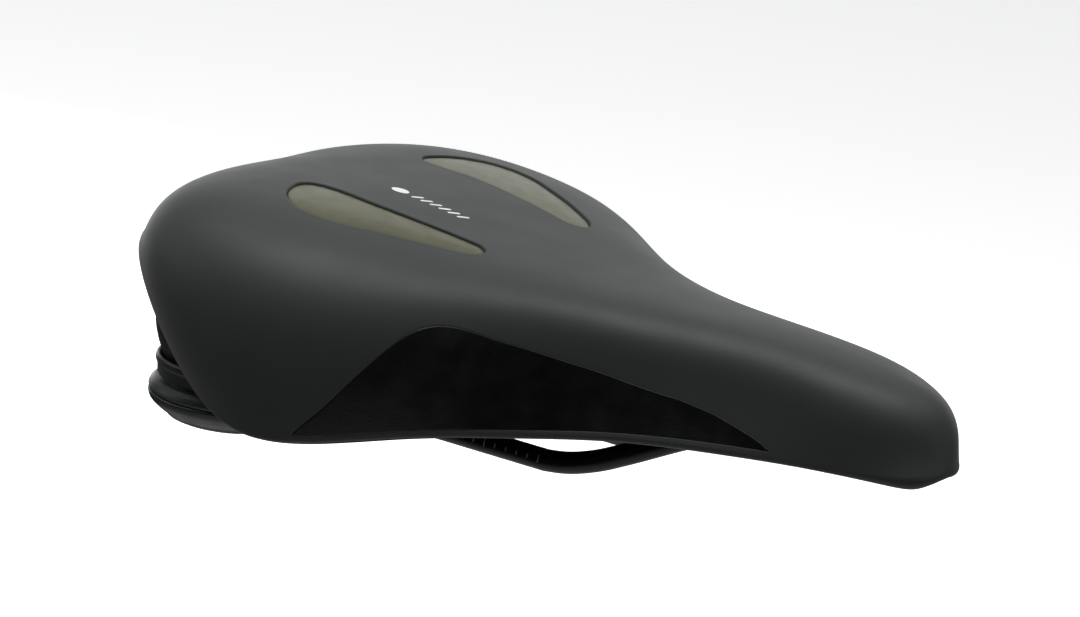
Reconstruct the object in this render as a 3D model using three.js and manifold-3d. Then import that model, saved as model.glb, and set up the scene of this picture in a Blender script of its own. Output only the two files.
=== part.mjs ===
// Bicycle saddle with elastomer suspension. Millimetres, +X towards the nose, +Y to the rider's
// left, +Z up. The origin lies in the mirror plane, under the middle of the saddle's length, level
// with the lowest point, the foot of the rail-end screws. The rails' straight clamping section is
// centred 14 mm behind it, 12.4 mm up.
//
// Pieces are drawn in a frame of their own, then moved by PIECES_X and PIECES_Z. The cover net
// shares its heights but counts x from the rear datum, REAR_DATUM behind the drawing frame's zero.
import * as THREE from "three";
import { mergeVertices } from "three/addons/utils/BufferGeometryUtils.js";
import Module from "manifold-3d";

// ---------------------------------------------------------------- driving dimensions
const FIT = 0.3; // gap between neighbouring pieces
const REAR_DATUM = 123;
const SET_SCREW_BOTTOM = -13.4; // lowest point of the saddle
const PIECES_X = -12.5;
const PIECES_Z = -SET_SCREW_BOTTOM;

const COVER_T = 1.8; // moulded cover
const SHELL_T = 2.4; // base shell wall
const GEL_DEPTH = 9; // cover's outside to the gel's underside

const RAIL_R = 3.5;
const RAIL_Y = 22; // half the rail spacing
const RAIL_Z = -1;
const RAIL_REAR_X = -24; // ends of the straight clamping section
const RAIL_FRONT_X = 21;
const PIVOT_X = 117; // front crossbar of the rail frame
const PIVOT_Z = 29;

const ELASTOMER_AT = [-84.3, 44]; // x, y of the left elastomer's axis
const BOLT_R = 3;
const BOSS_BOTTOM = 4.3;
const BOSS_CEILING = 15.8; // roof of the boss's lower hollow
const BOSS_BORE_R = 4.2;

// ---------------------------------------------------------------- cover net
// Stations run round half the outline from the rear centre to the nose centre. Columns: widest x, y;
// x of the foot on the spine; bottom edge x, y, z; shoulder reach, drop; wall reach, drop;
// inset and rise from the cover's edge to the base shell's edge.
// A reach is the share of the way from the spine to the widest point.
const STATIONS = [
  [5.56, 0, 62, 0.5, 0, 46.12, 0.76, 2.66, 0.99, 14.1, 7.2, 2.9],
  [4.86, 31.33, 64, -2.5, 40.25, 44.54, 0.77, 2.58, 0.99, 10.63, 7.2, 2.9],
  [16.45, 72.36, 70, 10.5, 69.36, 43.1, 0.76, 2.09, 0.99, 10.79, 5.2, 4.6],
  [45.41, 93.54, 82, 57.16, 88.46, 4.02, 0.76, 1.69, 0.99, 12.77, 3.9, 3.1],
  [90.59, 92.11, 100, 85.75, 92.03, -0.88, 0.76, 1.47, 0.99, 12.2, 3.9, 2.9],
  [121.92, 68.76, 122, 119.63, 66.79, 8.0, 0.76, 1.53, 0.99, 10.1, 3.9, 2.9],
  [147.23, 39.06, 148, 145.82, 45.03, 10.13, 0.82, 1.1, 1.02, 7.8, 3.9, 2.9],
  [178.96, 27.34, 176, 173.33, 33.75, 15.53, 0.82, 1.95, 1.02, 9.36, 3.9, 2.9],
  [211.55, 20.89, 208, 210.09, 25.39, 18.2, 0.82, 2.11, 1.02, 9.81, 3.9, 2.9],
  [243.46, 22.97, 234, 239.17, 22.41, 20.0, 0.82, 1.93, 1.02, 9.72, 4, 2.9],
  [264.29, 12.34, 248, 268.0, 17.05, 20.2, 0.82, 1.99, 1.02, 10.24, 5, 2.9],
  [272.66, 0, 252, 273.6, 0, 23.9, 0.82, 2.08, 1.02, 10.3, 4.8, 2.9],
].map(([
  widestX, widestY, spineX, edgeX, edgeY, edgeZ,
  shoulderReach, shoulderDrop, wallReach, wallDrop, shellInset, shellRise,
]) => ({
  widestX, widestY, spineX, edgeX, edgeY, edgeZ,
  shoulderReach, shoulderDrop, wallReach, wallDrop, shellInset, shellRise,
}));
const LAST = STATIONS.length - 1;
const INNER_REACH = 0.42;
const LOWER_WALL_REACH = 1.03;
const LOWER_WALL_SHARE = 0.52; // of the height from the wall point down to the edge

// Spine: x, z of the cover's top.
const SPINE = [
  [0, 67.04], [45, 68.02], [90, 65.18], [135, 57.65], [180, 53.83], [225, 52.86], [268, 44.33],
];
// x, depth from the cover's top to the base shell's top, along the spine.
const PAD_DEPTH = [[0, 24], [45, 24], [90, 22], [135, 17], [180, 13.5], [225, 12.5], [268, 12]];

// ---------------------------------------------------------------- small maths
const { clamp } = THREE.MathUtils;
const lerp = (a, b, t) => a + (b - a) * t;
const sub = (a, b) => [a[0] - b[0], a[1] - b[1], a[2] - b[2]];
const cross = (a, b) => [
  a[1] * b[2] - a[2] * b[1], a[2] * b[0] - a[0] * b[2], a[0] * b[1] - a[1] * b[0],
];
const dot = (a, b) => a[0] * b[0] + a[1] * b[1] + a[2] * b[2];
function unit(vector) {
  const length = Math.hypot(...vector);
  return vector.map((c) => c / length);
}

// Straight-line interpolation in a table of pairs, held constant past its ends.
const interpolator = (pairs) => (x) => {
  if (x <= pairs[0][0]) return pairs[0][1];
  for (let i = 1; i < pairs.length; i++) {
    const [x0, y0] = pairs[i - 1];
    const [x1, y1] = pairs[i];
    if (x <= x1) return lerp(y0, y1, (x - x0) / (x1 - x0));
  }
  return pairs[pairs.length - 1][1];
};

// Natural cubic spline through pairs: value and slope.
function naturalSpline(pairs) {
  const count = pairs.length;
  const spans = [];
  const rises = [];
  for (let i = 0; i < count - 1; i++) {
    spans.push(pairs[i + 1][0] - pairs[i][0]);
    rises.push(pairs[i + 1][1] - pairs[i][1]);
  }
  // Tridiagonal system for the second derivatives at the inner points.
  const bends = new Array(count).fill(0);
  const diagonal = [];
  const right = [];
  for (let i = 1; i < count - 1; i++) {
    diagonal.push(2 * (spans[i - 1] + spans[i]));
    right.push(6 * (rises[i] / spans[i] - rises[i - 1] / spans[i - 1]));
  }
  for (let i = 1; i < diagonal.length; i++) {
    const factor = spans[i] / diagonal[i - 1];
    diagonal[i] -= factor * spans[i];
    right[i] -= factor * right[i - 1];
  }
  for (let i = diagonal.length - 1; i >= 0; i--) {
    const next = i < diagonal.length - 1 ? spans[i + 1] * bends[i + 2] : 0;
    bends[i + 1] = (right[i] - next) / diagonal[i];
  }
  return (x) => {
    let i = 0;
    while (i < count - 2 && x > pairs[i + 1][0]) i++;
    const t = x - pairs[i][0];
    const span = spans[i];
    const linear = rises[i] / span - (span * (2 * bends[i] + bends[i + 1])) / 6;
    const square = bends[i] / 2;
    const cube = (bends[i + 1] - bends[i]) / (6 * span);
    return [
      pairs[i][1] + t * (linear + t * (square + t * cube)),
      linear + t * (2 * square + 3 * cube * t),
    ];
  };
}

// Clamped cubic B-spline weights of the six points down a net row.
function rowWeights(v) {
  const t = clamp(v, 0, 1 - 1e-9);
  const knots = [0, 0, 0, 0, 1 / 3, 2 / 3, 1, 1, 1, 1];
  let weights = [];
  for (let i = 0; i < 9; i++) weights.push(t >= knots[i] && t < knots[i + 1] ? 1 : 0);
  for (let degree = 1; degree <= 3; degree++) {
    const raised = [];
    for (let i = 0; i < 9 - degree; i++) {
      const [a, b, c, d] = [knots[i], knots[i + degree], knots[i + 1], knots[i + degree + 1]];
      const rising = b > a ? ((t - a) / (b - a)) * weights[i] : 0;
      const falling = d > c ? ((d - t) / (d - c)) * weights[i + 1] : 0;
      raised.push(rising + falling);
    }
    weights = raised;
  }
  return weights;
}

// Uniform cubic B-spline weights of the stations, mirrored at both ends:
// even ones for x and z, odd ones for y.
function stationWeights(u) {
  const start = clamp(Math.floor(u), 0, LAST - 1);
  const f = u - start;
  const weights = [
    (1 - f) ** 3 / 6,
    (3 * f ** 3 - 6 * f * f + 4) / 6,
    (-3 * f ** 3 + 3 * f * f + 3 * f + 1) / 6,
    f ** 3 / 6,
  ];
  const even = new Array(LAST + 1).fill(0);
  const odd = new Array(LAST + 1).fill(0);
  weights.forEach((weight, k) => {
    const index = start - 1 + k;
    const inside = index < 0 ? -index : index > LAST ? 2 * LAST - index : index;
    even[inside] += weight;
    odd[inside] += inside === index ? weight : -weight;
  });
  return [even, odd];
}

// ---------------------------------------------------------------- nets
// A net has a row of six control points per station. On it, u is the station number and
// v runs from 0 on the spine to 1 at the bottom edge.
const spineAt = naturalSpline(SPINE);
const padDepthAt = interpolator(PAD_DEPTH);

function netRow(station, { scale, crownDrop, shoulderDrop, wallDrop, edge }) {
  const { widestX, widestY, spineX } = station;
  const [spineZ, slope] = spineAt(spineX);
  const dx = widestX - spineX;
  const point = (reach, drop) => [
    spineX + dx * reach * scale,
    widestY * reach * scale,
    spineZ + slope * dx * reach * scale - drop,
  ];
  const wall = point(station.wallReach, wallDrop);
  const [lowerX, lowerY] = point(LOWER_WALL_REACH, 0);
  const lowerZ = (1 - LOWER_WALL_SHARE) * wall[2] + LOWER_WALL_SHARE * edge[2];
  return [
    point(0, crownDrop),
    point(INNER_REACH, crownDrop),
    point(station.shoulderReach, shoulderDrop),
    wall,
    [lowerX, lowerY, lowerZ],
    edge,
  ];
}

// Outside of the cover.
const coverNet = STATIONS.map((station) => netRow(station, {
  scale: 1,
  crownDrop: 0,
  shoulderDrop: station.shoulderDrop,
  wallDrop: station.wallDrop,
  edge: [station.edgeX, station.edgeY, station.edgeZ],
}));

// Top side of the base shell. Some allowances change from the tail to the nose.
const shellNet = STATIONS.map((station, i) => {
  const { widestX, widestY, spineX, edgeX, edgeY, edgeZ, shellInset } = station;
  const noseShare = clamp((i - 5) / 2, 0, 1);
  const reachLength = Math.hypot(widestX - spineX, widestY);
  const inX = spineX - edgeX;
  const inY = -edgeY;
  const inLength = Math.hypot(inX, inY);
  const depth = padDepthAt(spineX);
  return netRow(station, {
    scale: (reachLength - lerp(5.4, 4.4, noseShare)) / reachLength,
    crownDrop: depth,
    shoulderDrop: station.shoulderDrop + depth * lerp(0.74, 0.8, noseShare),
    wallDrop: station.wallDrop + lerp(6.4, 5.2, noseShare),
    edge: [
      edgeX + (inX / inLength) * shellInset,
      edgeY + (inY / inLength) * shellInset,
      edgeZ + station.shellRise,
    ],
  });
});

function netPoint(net, u, v) {
  const [even, odd] = stationWeights(u);
  const weights = rowWeights(v);
  const p = [0, 0, 0];
  for (let i = 0; i <= LAST; i++) {
    if (!even[i] && !odd[i]) continue;
    for (let j = 0; j < 6; j++) {
      p[0] += even[i] * weights[j] * net[i][j][0];
      p[1] += odd[i] * weights[j] * net[i][j][1];
      p[2] += even[i] * weights[j] * net[i][j][2];
    }
  }
  return p;
}

// Outward normal, kept in the mirror plane on the spine and at both ends.
function netNormal(net, u, v) {
  const step = 1e-3;
  const w = Math.max(v, 0.02); // clear of the spine, where the rows can crowd together
  const alongU = sub(
    netPoint(net, Math.min(u + step, LAST), w), netPoint(net, Math.max(u - step, 0), w),
  );
  const alongV = sub(netPoint(net, u, Math.min(w + step, 1)), netPoint(net, u, w - step));
  const n = unit(cross(alongU, alongV));
  const inMirrorPlane = v < 1e-6 || u < 1e-6 || u > LAST - 1e-6;
  return inMirrorPlane ? unit([n[0], 0, n[2]]) : n;
}

// Point off the net along its normal, in the drawing frame.
function offsetPoint(net, u, v, offset) {
  const p = netPoint(net, u, v);
  const n = netNormal(net, u, v);
  return [p[0] + n[0] * offset - REAR_DATUM, p[1] + n[1] * offset, p[2] + n[2] * offset];
}

// ---------------------------------------------------------------- sampling of the nets
const U_SAMPLES = [
  0, 0.6, 1.2, 1.7, 2.2, 2.7, 3.2, 3.7, 4.2, 4.7, 5.2, 5.8, 6.5, 7.3, 8.1, 8.8, 9.4, 9.8,
  10.2, 10.55, 10.82, 11,
];
const COVER_ROWS = [0, 0.16, 0.31, 0.44, 0.55, 0.65, 0.75, 0.87, 1]; // shares of coverEndV
const SHELL_ROWS = [0, 0.25, 0.45, 0.62, 0.8, 1]; // shares of SHELL_END_V
const SHELL_END_V = 0.93;
const LIP_RISE = 0.5; // turned-in lip's underside above the cover's edge
const LIP_T = 1.7;
const LIP_CLEARANCE = 0.35;

// At each sample, the lowest v whose inner side still clears the turned-in lip.
const coverEndV = U_SAMPLES.map((u) => {
  const lipTop = netPoint(coverNet, u, 1)[2] + LIP_RISE + LIP_T + LIP_CLEARANCE;
  let v = 0.975;
  while (v > 0.7 && offsetPoint(coverNet, u, v, -(COVER_T + FIT))[2] <= lipTop) v -= 0.004;
  return v;
});
const coverAt = (i, j, offset) =>
  offsetPoint(coverNet, U_SAMPLES[i], COVER_ROWS[j] * coverEndV[i], offset);
const shellAt = (i, j, offset) =>
  offsetPoint(shellNet, U_SAMPLES[i], SHELL_ROWS[j] * SHELL_END_V, offset);

// ---------------------------------------------------------------- geometry helpers
const wasm = await Module();
wasm.setup();
const manifoldOf = (vertProperties, triVerts) =>
  new wasm.Manifold(new wasm.Mesh({ numProp: 3, vertProperties, triVerts }));

// A closed geometry as a solid, turned so that its faces look outwards.
function solid(geometry) {
  const bare = geometry.clone();
  for (const key of Object.keys(bare.attributes)) {
    if (key !== "position") bare.deleteAttribute(key);
  }
  const merged = mergeVertices(bare, 1e-4);
  const positions = merged.attributes.position.array;
  const index = merged.index.array;
  const corner = (i) => [positions[3 * i], positions[3 * i + 1], positions[3 * i + 2]];
  const triangles = [];
  let volume = 0;
  for (let i = 0; i < index.length; i += 3) {
    const [a, b, c] = [index[i], index[i + 1], index[i + 2]];
    if (a === b || b === c || a === c) continue;
    triangles.push([a, b, c]);
    volume += dot(corner(a), cross(corner(b), corner(c)));
  }
  const outward = volume < 0 ? triangles.map(([a, b, c]) => [a, c, b]) : triangles;
  return manifoldOf(new Float32Array(positions), new Uint32Array(outward.flat()));
}
function solidFrom(points, triangles) {
  const geometry = new THREE.BufferGeometry();
  geometry.setAttribute("position", new THREE.Float32BufferAttribute(points.flat(), 3));
  geometry.setIndex(triangles.flat());
  return solid(geometry);
}
// Vertices of a solid, with y multiplied by side, and its triangles.
function meshData(body, side) {
  const mesh = body.getMesh();
  const positions = new Float32Array(mesh.numVert * 3);
  for (let i = 0; i < mesh.numVert; i++) {
    const from = i * mesh.numProp;
    positions.set(mesh.vertProperties.subarray(from, from + 3), 3 * i);
    positions[3 * i + 1] *= side;
  }
  return [positions, new Uint32Array(mesh.triVerts)];
}
function geometryOf(body) {
  const [positions, index] = meshData(body, 1);
  const geometry = new THREE.BufferGeometry();
  geometry.setAttribute("position", new THREE.BufferAttribute(positions, 3));
  geometry.setIndex(new THREE.BufferAttribute(index, 1));
  geometry.computeVertexNormals();
  return geometry;
}
// The same solid on the other side of the saddle.
function mirrored(body) {
  const [positions, index] = meshData(body, -1);
  for (let i = 0; i < index.length; i += 3) {
    [index[i + 1], index[i + 2]] = [index[i + 2], index[i + 1]];
  }
  return manifoldOf(positions, index);
}
const cutBothSides = (body, tool) => body.subtract(tool).subtract(mirrored(tool));

// Two triangles of a quad, split along its shorter diagonal so that nested skins are split alike.
function quad(points, a, b, c, d) {
  const distance = (p, q) => Math.hypot(...sub(points[p], points[q]));
  return distance(a, c) <= distance(b, d) ? [[a, b, c], [a, c, d]] : [[a, b, d], [b, c, d]];
}

// Full solid from one closed profile per sample on the left half, called with u and its index.
// Every profile starts and ends in the mirror plane.
function twoHalves(profileAt) {
  const rows = U_SAMPLES.map((u, i) => profileAt(u, i));
  const width = rows[0].length;
  const points = [];
  const triangles = [];
  for (const side of [1, -1]) {
    const base = points.length;
    rows.forEach((row, i) => row.forEach(([x, y, z], j) => {
      const flat = i === 0 || i === rows.length - 1 || j === 0 || j === width - 1;
      points.push([x, flat ? 0 : y * side, z]);
    }));
    for (let i = 0; i < rows.length - 1; i++) {
      for (let j = 0; j < width - 1; j++) {
        const a = base + i * width + j;
        const b = a + width;
        for (const [p, q, r] of quad(points, a, b, b + 1, a + 1)) {
          triangles.push(side > 0 ? [p, q, r] : [p, r, q]);
        }
      }
    }
  }
  return solidFrom(points, triangles);
}

// Closed slab between the grids that pointAt(i, j, offset) gives at two offsets.
function slab(rows, columns, pointAt, topOffset, bottomOffset) {
  const points = [];
  for (const offset of [topOffset, bottomOffset]) {
    for (let i = 0; i < rows; i++) {
      for (let j = 0; j < columns; j++) points.push(pointAt(i, j, offset));
    }
  }
  const triangles = [];
  const under = rows * columns;
  const id = (i, j) => i * columns + j;
  for (let i = 0; i < rows - 1; i++) {
    for (let j = 0; j < columns - 1; j++) {
      const corners = [id(i, j), id(i + 1, j), id(i + 1, j + 1), id(i, j + 1)];
      triangles.push(...quad(points, ...corners));
      for (const [p, q, r] of quad(points, ...corners.map((c) => under + c))) {
        triangles.push([p, r, q]);
      }
    }
  }
  const ring = [];
  for (let i = 0; i < rows - 1; i++) ring.push(id(i, 0));
  for (let j = 0; j < columns - 1; j++) ring.push(id(rows - 1, j));
  for (let i = rows - 1; i > 0; i--) ring.push(id(i, columns - 1));
  for (let j = columns - 1; j > 0; j--) ring.push(id(0, j));
  ring.forEach((a, k) => {
    const b = ring[(k + 1) % ring.length];
    triangles.push([a, under + a, under + b], [a, under + b, b]);
  });
  return solidFrom(points, triangles);
}

// Solid of revolution about a vertical line from a [radius, height] profile.
// A profile that starts off the axis is closed into a ring.
function turned(profile, [x, y], segments) {
  const points = profile.map(([r, z]) => new THREE.Vector2(r, z));
  if (profile[0][0] > 0) points.push(points[0].clone());
  const geometry = new THREE.LatheGeometry(points, segments);
  geometry.rotateX(Math.PI / 2);
  geometry.translate(x, y, 0);
  return solid(geometry);
}
const post = (radius, z0, z1, place, segments) =>
  turned([[0, z0], [radius, z0], [radius, z1], [0, z1]], place, segments);
function hexPrism(radius, z0, z1, [x, y]) {
  const geometry = new THREE.CylinderGeometry(radius, radius, z1 - z0, 6);
  geometry.rotateX(Math.PI / 2);
  geometry.translate(x, y, (z0 + z1) / 2);
  return solid(geometry);
}
function prism(outline, z0, z1) {
  const shape = new THREE.Shape(outline.map(([x, y]) => new THREE.Vector2(x, y)));
  const geometry = new THREE.ExtrudeGeometry(shape, { depth: z1 - z0, bevelEnabled: false });
  geometry.translate(0, 0, z0);
  return solid(geometry);
}
function block(x0, x1, y0, y1, z0, z1) {
  const geometry = new THREE.BoxGeometry(x1 - x0, y1 - y0, z1 - z0);
  geometry.translate((x0 + x1) / 2, (y0 + y1) / 2, (z0 + z1) / 2);
  return solid(geometry);
}

// Twelve-sided wire swept along a path, a flat of its polygon underneath.
// The radius is that of the polygon's inscribed circle.
function wire(path, radius) {
  const segments = 12;
  const cornerR = radius / Math.cos(Math.PI / segments);
  const last = path.length - 1;
  const points = [];
  path.forEach((centre, i) => {
    const tangent = unit(sub(path[Math.min(i + 1, last)], path[Math.max(i - 1, 0)]));
    const side = unit(cross([0, 0, 1], tangent));
    const up = cross(tangent, side);
    for (let k = 0; k < segments; k++) {
      const angle = ((k + 0.5) / segments) * 2 * Math.PI;
      const s = Math.sin(angle) * cornerR;
      const c = -Math.cos(angle) * cornerR;
      points.push(centre.map((value, axis) => value + side[axis] * s + up[axis] * c));
    }
  });
  const triangles = [];
  for (let i = 0; i < last; i++) {
    for (let k = 0; k < segments; k++) {
      const a = i * segments + k;
      const b = i * segments + ((k + 1) % segments);
      triangles.push([a, b, b + segments], [a, b + segments, a + segments]);
    }
  }
  const end = last * segments;
  for (let k = 1; k < segments - 1; k++) {
    triangles.push([0, k + 1, k], [end, end + k, end + k + 1]);
  }
  return solidFrom(path.length ? points : [], triangles);
}

// ---------------------------------------------------------------- windows in the cover
// Left window: x, y in net coordinates, rear inner corner first, running round the outside.
const WINDOW = [
  [51.5, 31.0], [49.8, 35], [50.8, 40], [53, 45.5], [57.5, 51], [64, 55.2], [71.5, 56.3],
  [80, 54.9], [90, 50.2], [100, 45.2], [110, 39.2], [115.5, 35], [117.5, 31.5], [117, 28],
  [113.5, 25.6], [106, 26.3], [90, 28.4], [74, 29.5], [60, 29.0], [54.5, 29.6],
];
const WINDOW_STEPS = 28;
const windowOutline = new THREE.CatmullRomCurve3(
  WINDOW.map(([x, y]) => new THREE.Vector3(x - REAR_DATUM, y, 0)), true, "centripetal",
).getSpacedPoints(WINDOW_STEPS).slice(0, WINDOW_STEPS).map((p) => [p.x, p.y]);

function grown(outline, by) {
  const count = outline.length;
  let area = 0;
  outline.forEach(([x, y], i) => {
    const [nextX, nextY] = outline[(i + 1) % count];
    area += x * nextY - nextX * y;
  });
  const turn = area > 0 ? 1 : -1;
  return outline.map(([x, y], i) => {
    const [x0, y0] = outline[(i + count - 1) % count];
    const [x1, y1] = outline[(i + 1) % count];
    const length = Math.hypot(x1 - x0, y1 - y0);
    return [x + (turn * by * (y1 - y0)) / length, y - (turn * by * (x1 - x0)) / length];
  });
}

// The part of a layer under the cover's outside that lies within the grown window.
function windowLayer(growth, topOffset, bottomOffset) {
  const first = U_SAMPLES.indexOf(1.2);
  const last = U_SAMPLES.indexOf(5.8);
  const pointAt = (i, j, offset) => coverAt(first + i, j, offset);
  const layer = slab(last - first + 1, 4, pointAt, topOffset, bottomOffset);
  return prism(grown(windowOutline, growth), 20, 90).intersect(layer);
}

// ---------------------------------------------------------------- side panels
const PANEL_T = 0.9;
const PANEL_RECESS = 1.2; // depth of the recess in the cover
// Upper edge: u, v on the cover net.
const PANEL_EDGE = [
  [4.22, 0.97], [4.315, 0.953], [4.4, 0.933], [4.5, 0.9025], [4.63, 0.858], [4.75, 0.811],
  [4.874, 0.758], [4.94, 0.733], [5.02, 0.71], [5.13, 0.692], [5.28, 0.69], [5.49, 0.71],
  [5.62, 0.728], [5.94, 0.755], [6.26, 0.78], [6.59, 0.80], [6.93, 0.825], [7.175, 0.841],
  [7.35, 0.848], [7.5, 0.86], [7.72, 0.8774], [7.92, 0.901], [8.126, 0.9245], [8.242, 0.94],
  [8.3, 0.95],
];
const panelUpper = interpolator(PANEL_EDGE);
const panelLower = interpolator([[4.2, 0.985], [5.5, 0.983], [7, 0.974], [8.3, 0.967]]);
// How far a slab passes the panel's outline, in net coordinates.
const NO_MARGIN = { ends: 0, upper: 0, lower: 0 };
const RECESS_MARGIN = { ends: 0.04, upper: 0.011, lower: 0.005 };

function panelSlab(margin, topOffset, bottomOffset) {
  const steps = 22;
  const rows = 2;
  const start = PANEL_EDGE[0][0];
  const end = PANEL_EDGE[PANEL_EDGE.length - 1][0];
  const pointAt = (i, j, offset) => {
    const u = lerp(start - margin.ends, end + margin.ends, i / steps);
    const inside = clamp(u, start, end);
    const upper = panelUpper(inside) - margin.upper;
    const lower = panelLower(inside) + margin.lower;
    return offsetPoint(coverNet, u, lerp(upper, lower, j / rows), offset);
  };
  return slab(steps + 1, rows + 1, pointAt, topOffset, bottomOffset);
}
const makeSidePanel = () => panelSlab(NO_MARGIN, 0, -PANEL_T);

// ---------------------------------------------------------------- cover
// Thin moulded skin, turned in under the base, with two windows and recesses for the panels.
const LIP_W = 6.5;
const lipWidthAt = interpolator([
  [0, LIP_W - 1.6], [1.2, LIP_W - 1.6], [1.9, LIP_W - 3], [2.7, LIP_W - 3], [3.3, LIP_W],
]);

function coverProfile(u, i) {
  const outer = COVER_ROWS.map((_, j) => coverAt(i, j, 0));
  const inner = COVER_ROWS.map((_, j) => coverAt(i, j, -COVER_T)).reverse();
  const edge = offsetPoint(coverNet, u, 1, 0);
  const inward = sub(netPoint(coverNet, u, 0), netPoint(coverNet, u, 1));
  const length = Math.hypot(inward[0], inward[1]);
  const [inX, inY] = [inward[0] / length, inward[1] / length];
  const lip = (reach, rise) => [edge[0] + inX * reach, edge[1] + inY * reach, edge[2] + rise];
  const width = lipWidthAt(u);
  const wallFoot = inner[0];
  const corner = Math.max(2.1, (wallFoot[0] - edge[0]) * inX + (wallFoot[1] - edge[1]) * inY);
  return [
    ...outer,
    edge,
    lip(1.6, -0.25),
    lip(width, LIP_RISE),
    lip(width, LIP_RISE + LIP_T),
    lip(corner, LIP_RISE + LIP_T),
    ...inner,
  ];
}
function makeCover() {
  const skin = cutBothSides(twoHalves(coverProfile), prism(windowOutline, 30, 90));
  return cutBothSides(skin, panelSlab(RECESS_MARGIN, 1.2, -PANEL_RECESS));
}

// ---------------------------------------------------------------- gel inserts
// A crown in the window on a flange under the cover.
function makeGelInsert() {
  const crown = windowLayer(-0.4, -0.6, -GEL_DEPTH);
  const flange = windowLayer(2.5, -(COVER_T + FIT), -GEL_DEPTH);
  return crown.add(flange);
}

// ---------------------------------------------------------------- foam pad
// Fills the space between cover and base shell, with a pocket for each gel insert.
function makeFoamPad() {
  const pad = twoHalves((u, i) => [
    ...COVER_ROWS.slice(0, -1).map((_, j) => coverAt(i, j, -(COVER_T + FIT))),
    ...SHELL_ROWS.map((_, j) => shellAt(i, j, FIT)).reverse(),
  ]);
  return cutBothSides(pad, windowLayer(2.9, 0.5, -GEL_DEPTH - FIT));
}

// ---------------------------------------------------------------- nose bearing and screws
const CRADLE_REAR_X = PIVOT_X - 13.5;
const CRADLE_FRONT_X = PIVOT_X + 15;
const CRADLE_HALF_W = 4;
const CRADLE_BORE_R = 3.85;
const RETAINER_BOTTOM = PIVOT_Z - 6.6;
const NOSE_SCREW_R = 2;
const NOSE_SCREW_HEAD_R = 3.5;
const NOSE_SCREWS = [["nose_screw_rear", PIVOT_X - 9], ["nose_screw_front", PIVOT_X + 10]];

const cradleBlock = (z0, z1) =>
  block(CRADLE_REAR_X, CRADLE_FRONT_X, -CRADLE_HALF_W, CRADLE_HALF_W, z0, z1);

// Cuts the crossbar's bearing and the screw holes.
function boreCradle(body, holeBottom, holeTop) {
  const crossbar = new THREE.CylinderGeometry(CRADLE_BORE_R, CRADLE_BORE_R, 24, 20);
  crossbar.translate(PIVOT_X, 0, PIVOT_Z);
  let bored = body.subtract(solid(crossbar));
  for (const [, x] of NOSE_SCREWS) {
    bored = bored.subtract(post(NOSE_SCREW_R + FIT, holeBottom, holeTop, [x, 0], 12));
  }
  return bored;
}
const makeNoseRetainer = () => boreCradle(cradleBlock(RETAINER_BOTTOM, PIVOT_Z), 10, 40);

function makeNoseScrew(x) {
  const headTop = RETAINER_BOTTOM - FIT;
  return turned([
    [0, headTop - 2.3], [2.6, headTop - 2.3], [NOSE_SCREW_HEAD_R, headTop - 1.2],
    [NOSE_SCREW_HEAD_R, headTop], [NOSE_SCREW_R, headTop], [NOSE_SCREW_R, 33],
    [1.2, 33.7], [0, 33.7],
  ], [x, 0], 12).subtract(hexPrism(1.5, headTop - 3, headTop - 1, [x, 0]));
}

// ---------------------------------------------------------------- base shell
const RIB_H = 6;
const RIB_T = 2;
const LONG_RIB_Y = 9;
const CROSS_RIBS_X = [-48, 6];
// Outside of the conical rear bosses: radius, height.
const BOSS = [[19.7, BOSS_BOTTOM], [21, 7.9], [22.9, 12], [25.4, 20], [26.2, 30], [26.4, 56]];
const BOSS_WALL = 2.4;
const BOSS_FLOOR = 19; // floor of the upper hollow

function shellSkin() {
  return twoHalves((u, i) => {
    const edge = offsetPoint(shellNet, u, 1, 0);
    const [x, y, z] = offsetPoint(shellNet, u, 1, -SHELL_T);
    return [
      ...SHELL_ROWS.map((_, j) => shellAt(i, j, 0)),
      edge,
      [x, y, Math.max(z, edge[2] - 0.2)],
      ...SHELL_ROWS.map((_, j) => shellAt(i, j, -SHELL_T)).reverse(),
    ];
  });
}
// Everything below a skin just inside the shell's top side; trims what joins the shell.
function spaceUnderShell() {
  const bottom = -30;
  return twoHalves((u, i) => {
    const rows = SHELL_ROWS.map((_, j) => shellAt(i, j, -0.8));
    const [x, y] = rows[rows.length - 1];
    return [...rows, [x, y, bottom], [shellAt(i, 0, 0)[0], 0, bottom]];
  });
}
function addRibs(body) {
  const zone = twoHalves((u, i) => {
    const lowered = (drop) => [0, 1, 2, 3].map((j) => {
      const [x, y, z] = shellAt(i, j, 0);
      return [x, y, z - drop];
    });
    return [...lowered(1), ...lowered(SHELL_T + RIB_H).reverse()];
  });
  const half = RIB_T / 2;
  const ribs = [
    ...[LONG_RIB_Y, -LONG_RIB_Y].map((y) => block(-78, 76, y - half, y + half, 0, 70)),
    ...CROSS_RIBS_X.map((x) => block(x - half, x + half, -70, 70, 0, 70)),
  ];
  return ribs.reduce((joined, rib) => joined.add(rib.intersect(zone)), body);
}
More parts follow.
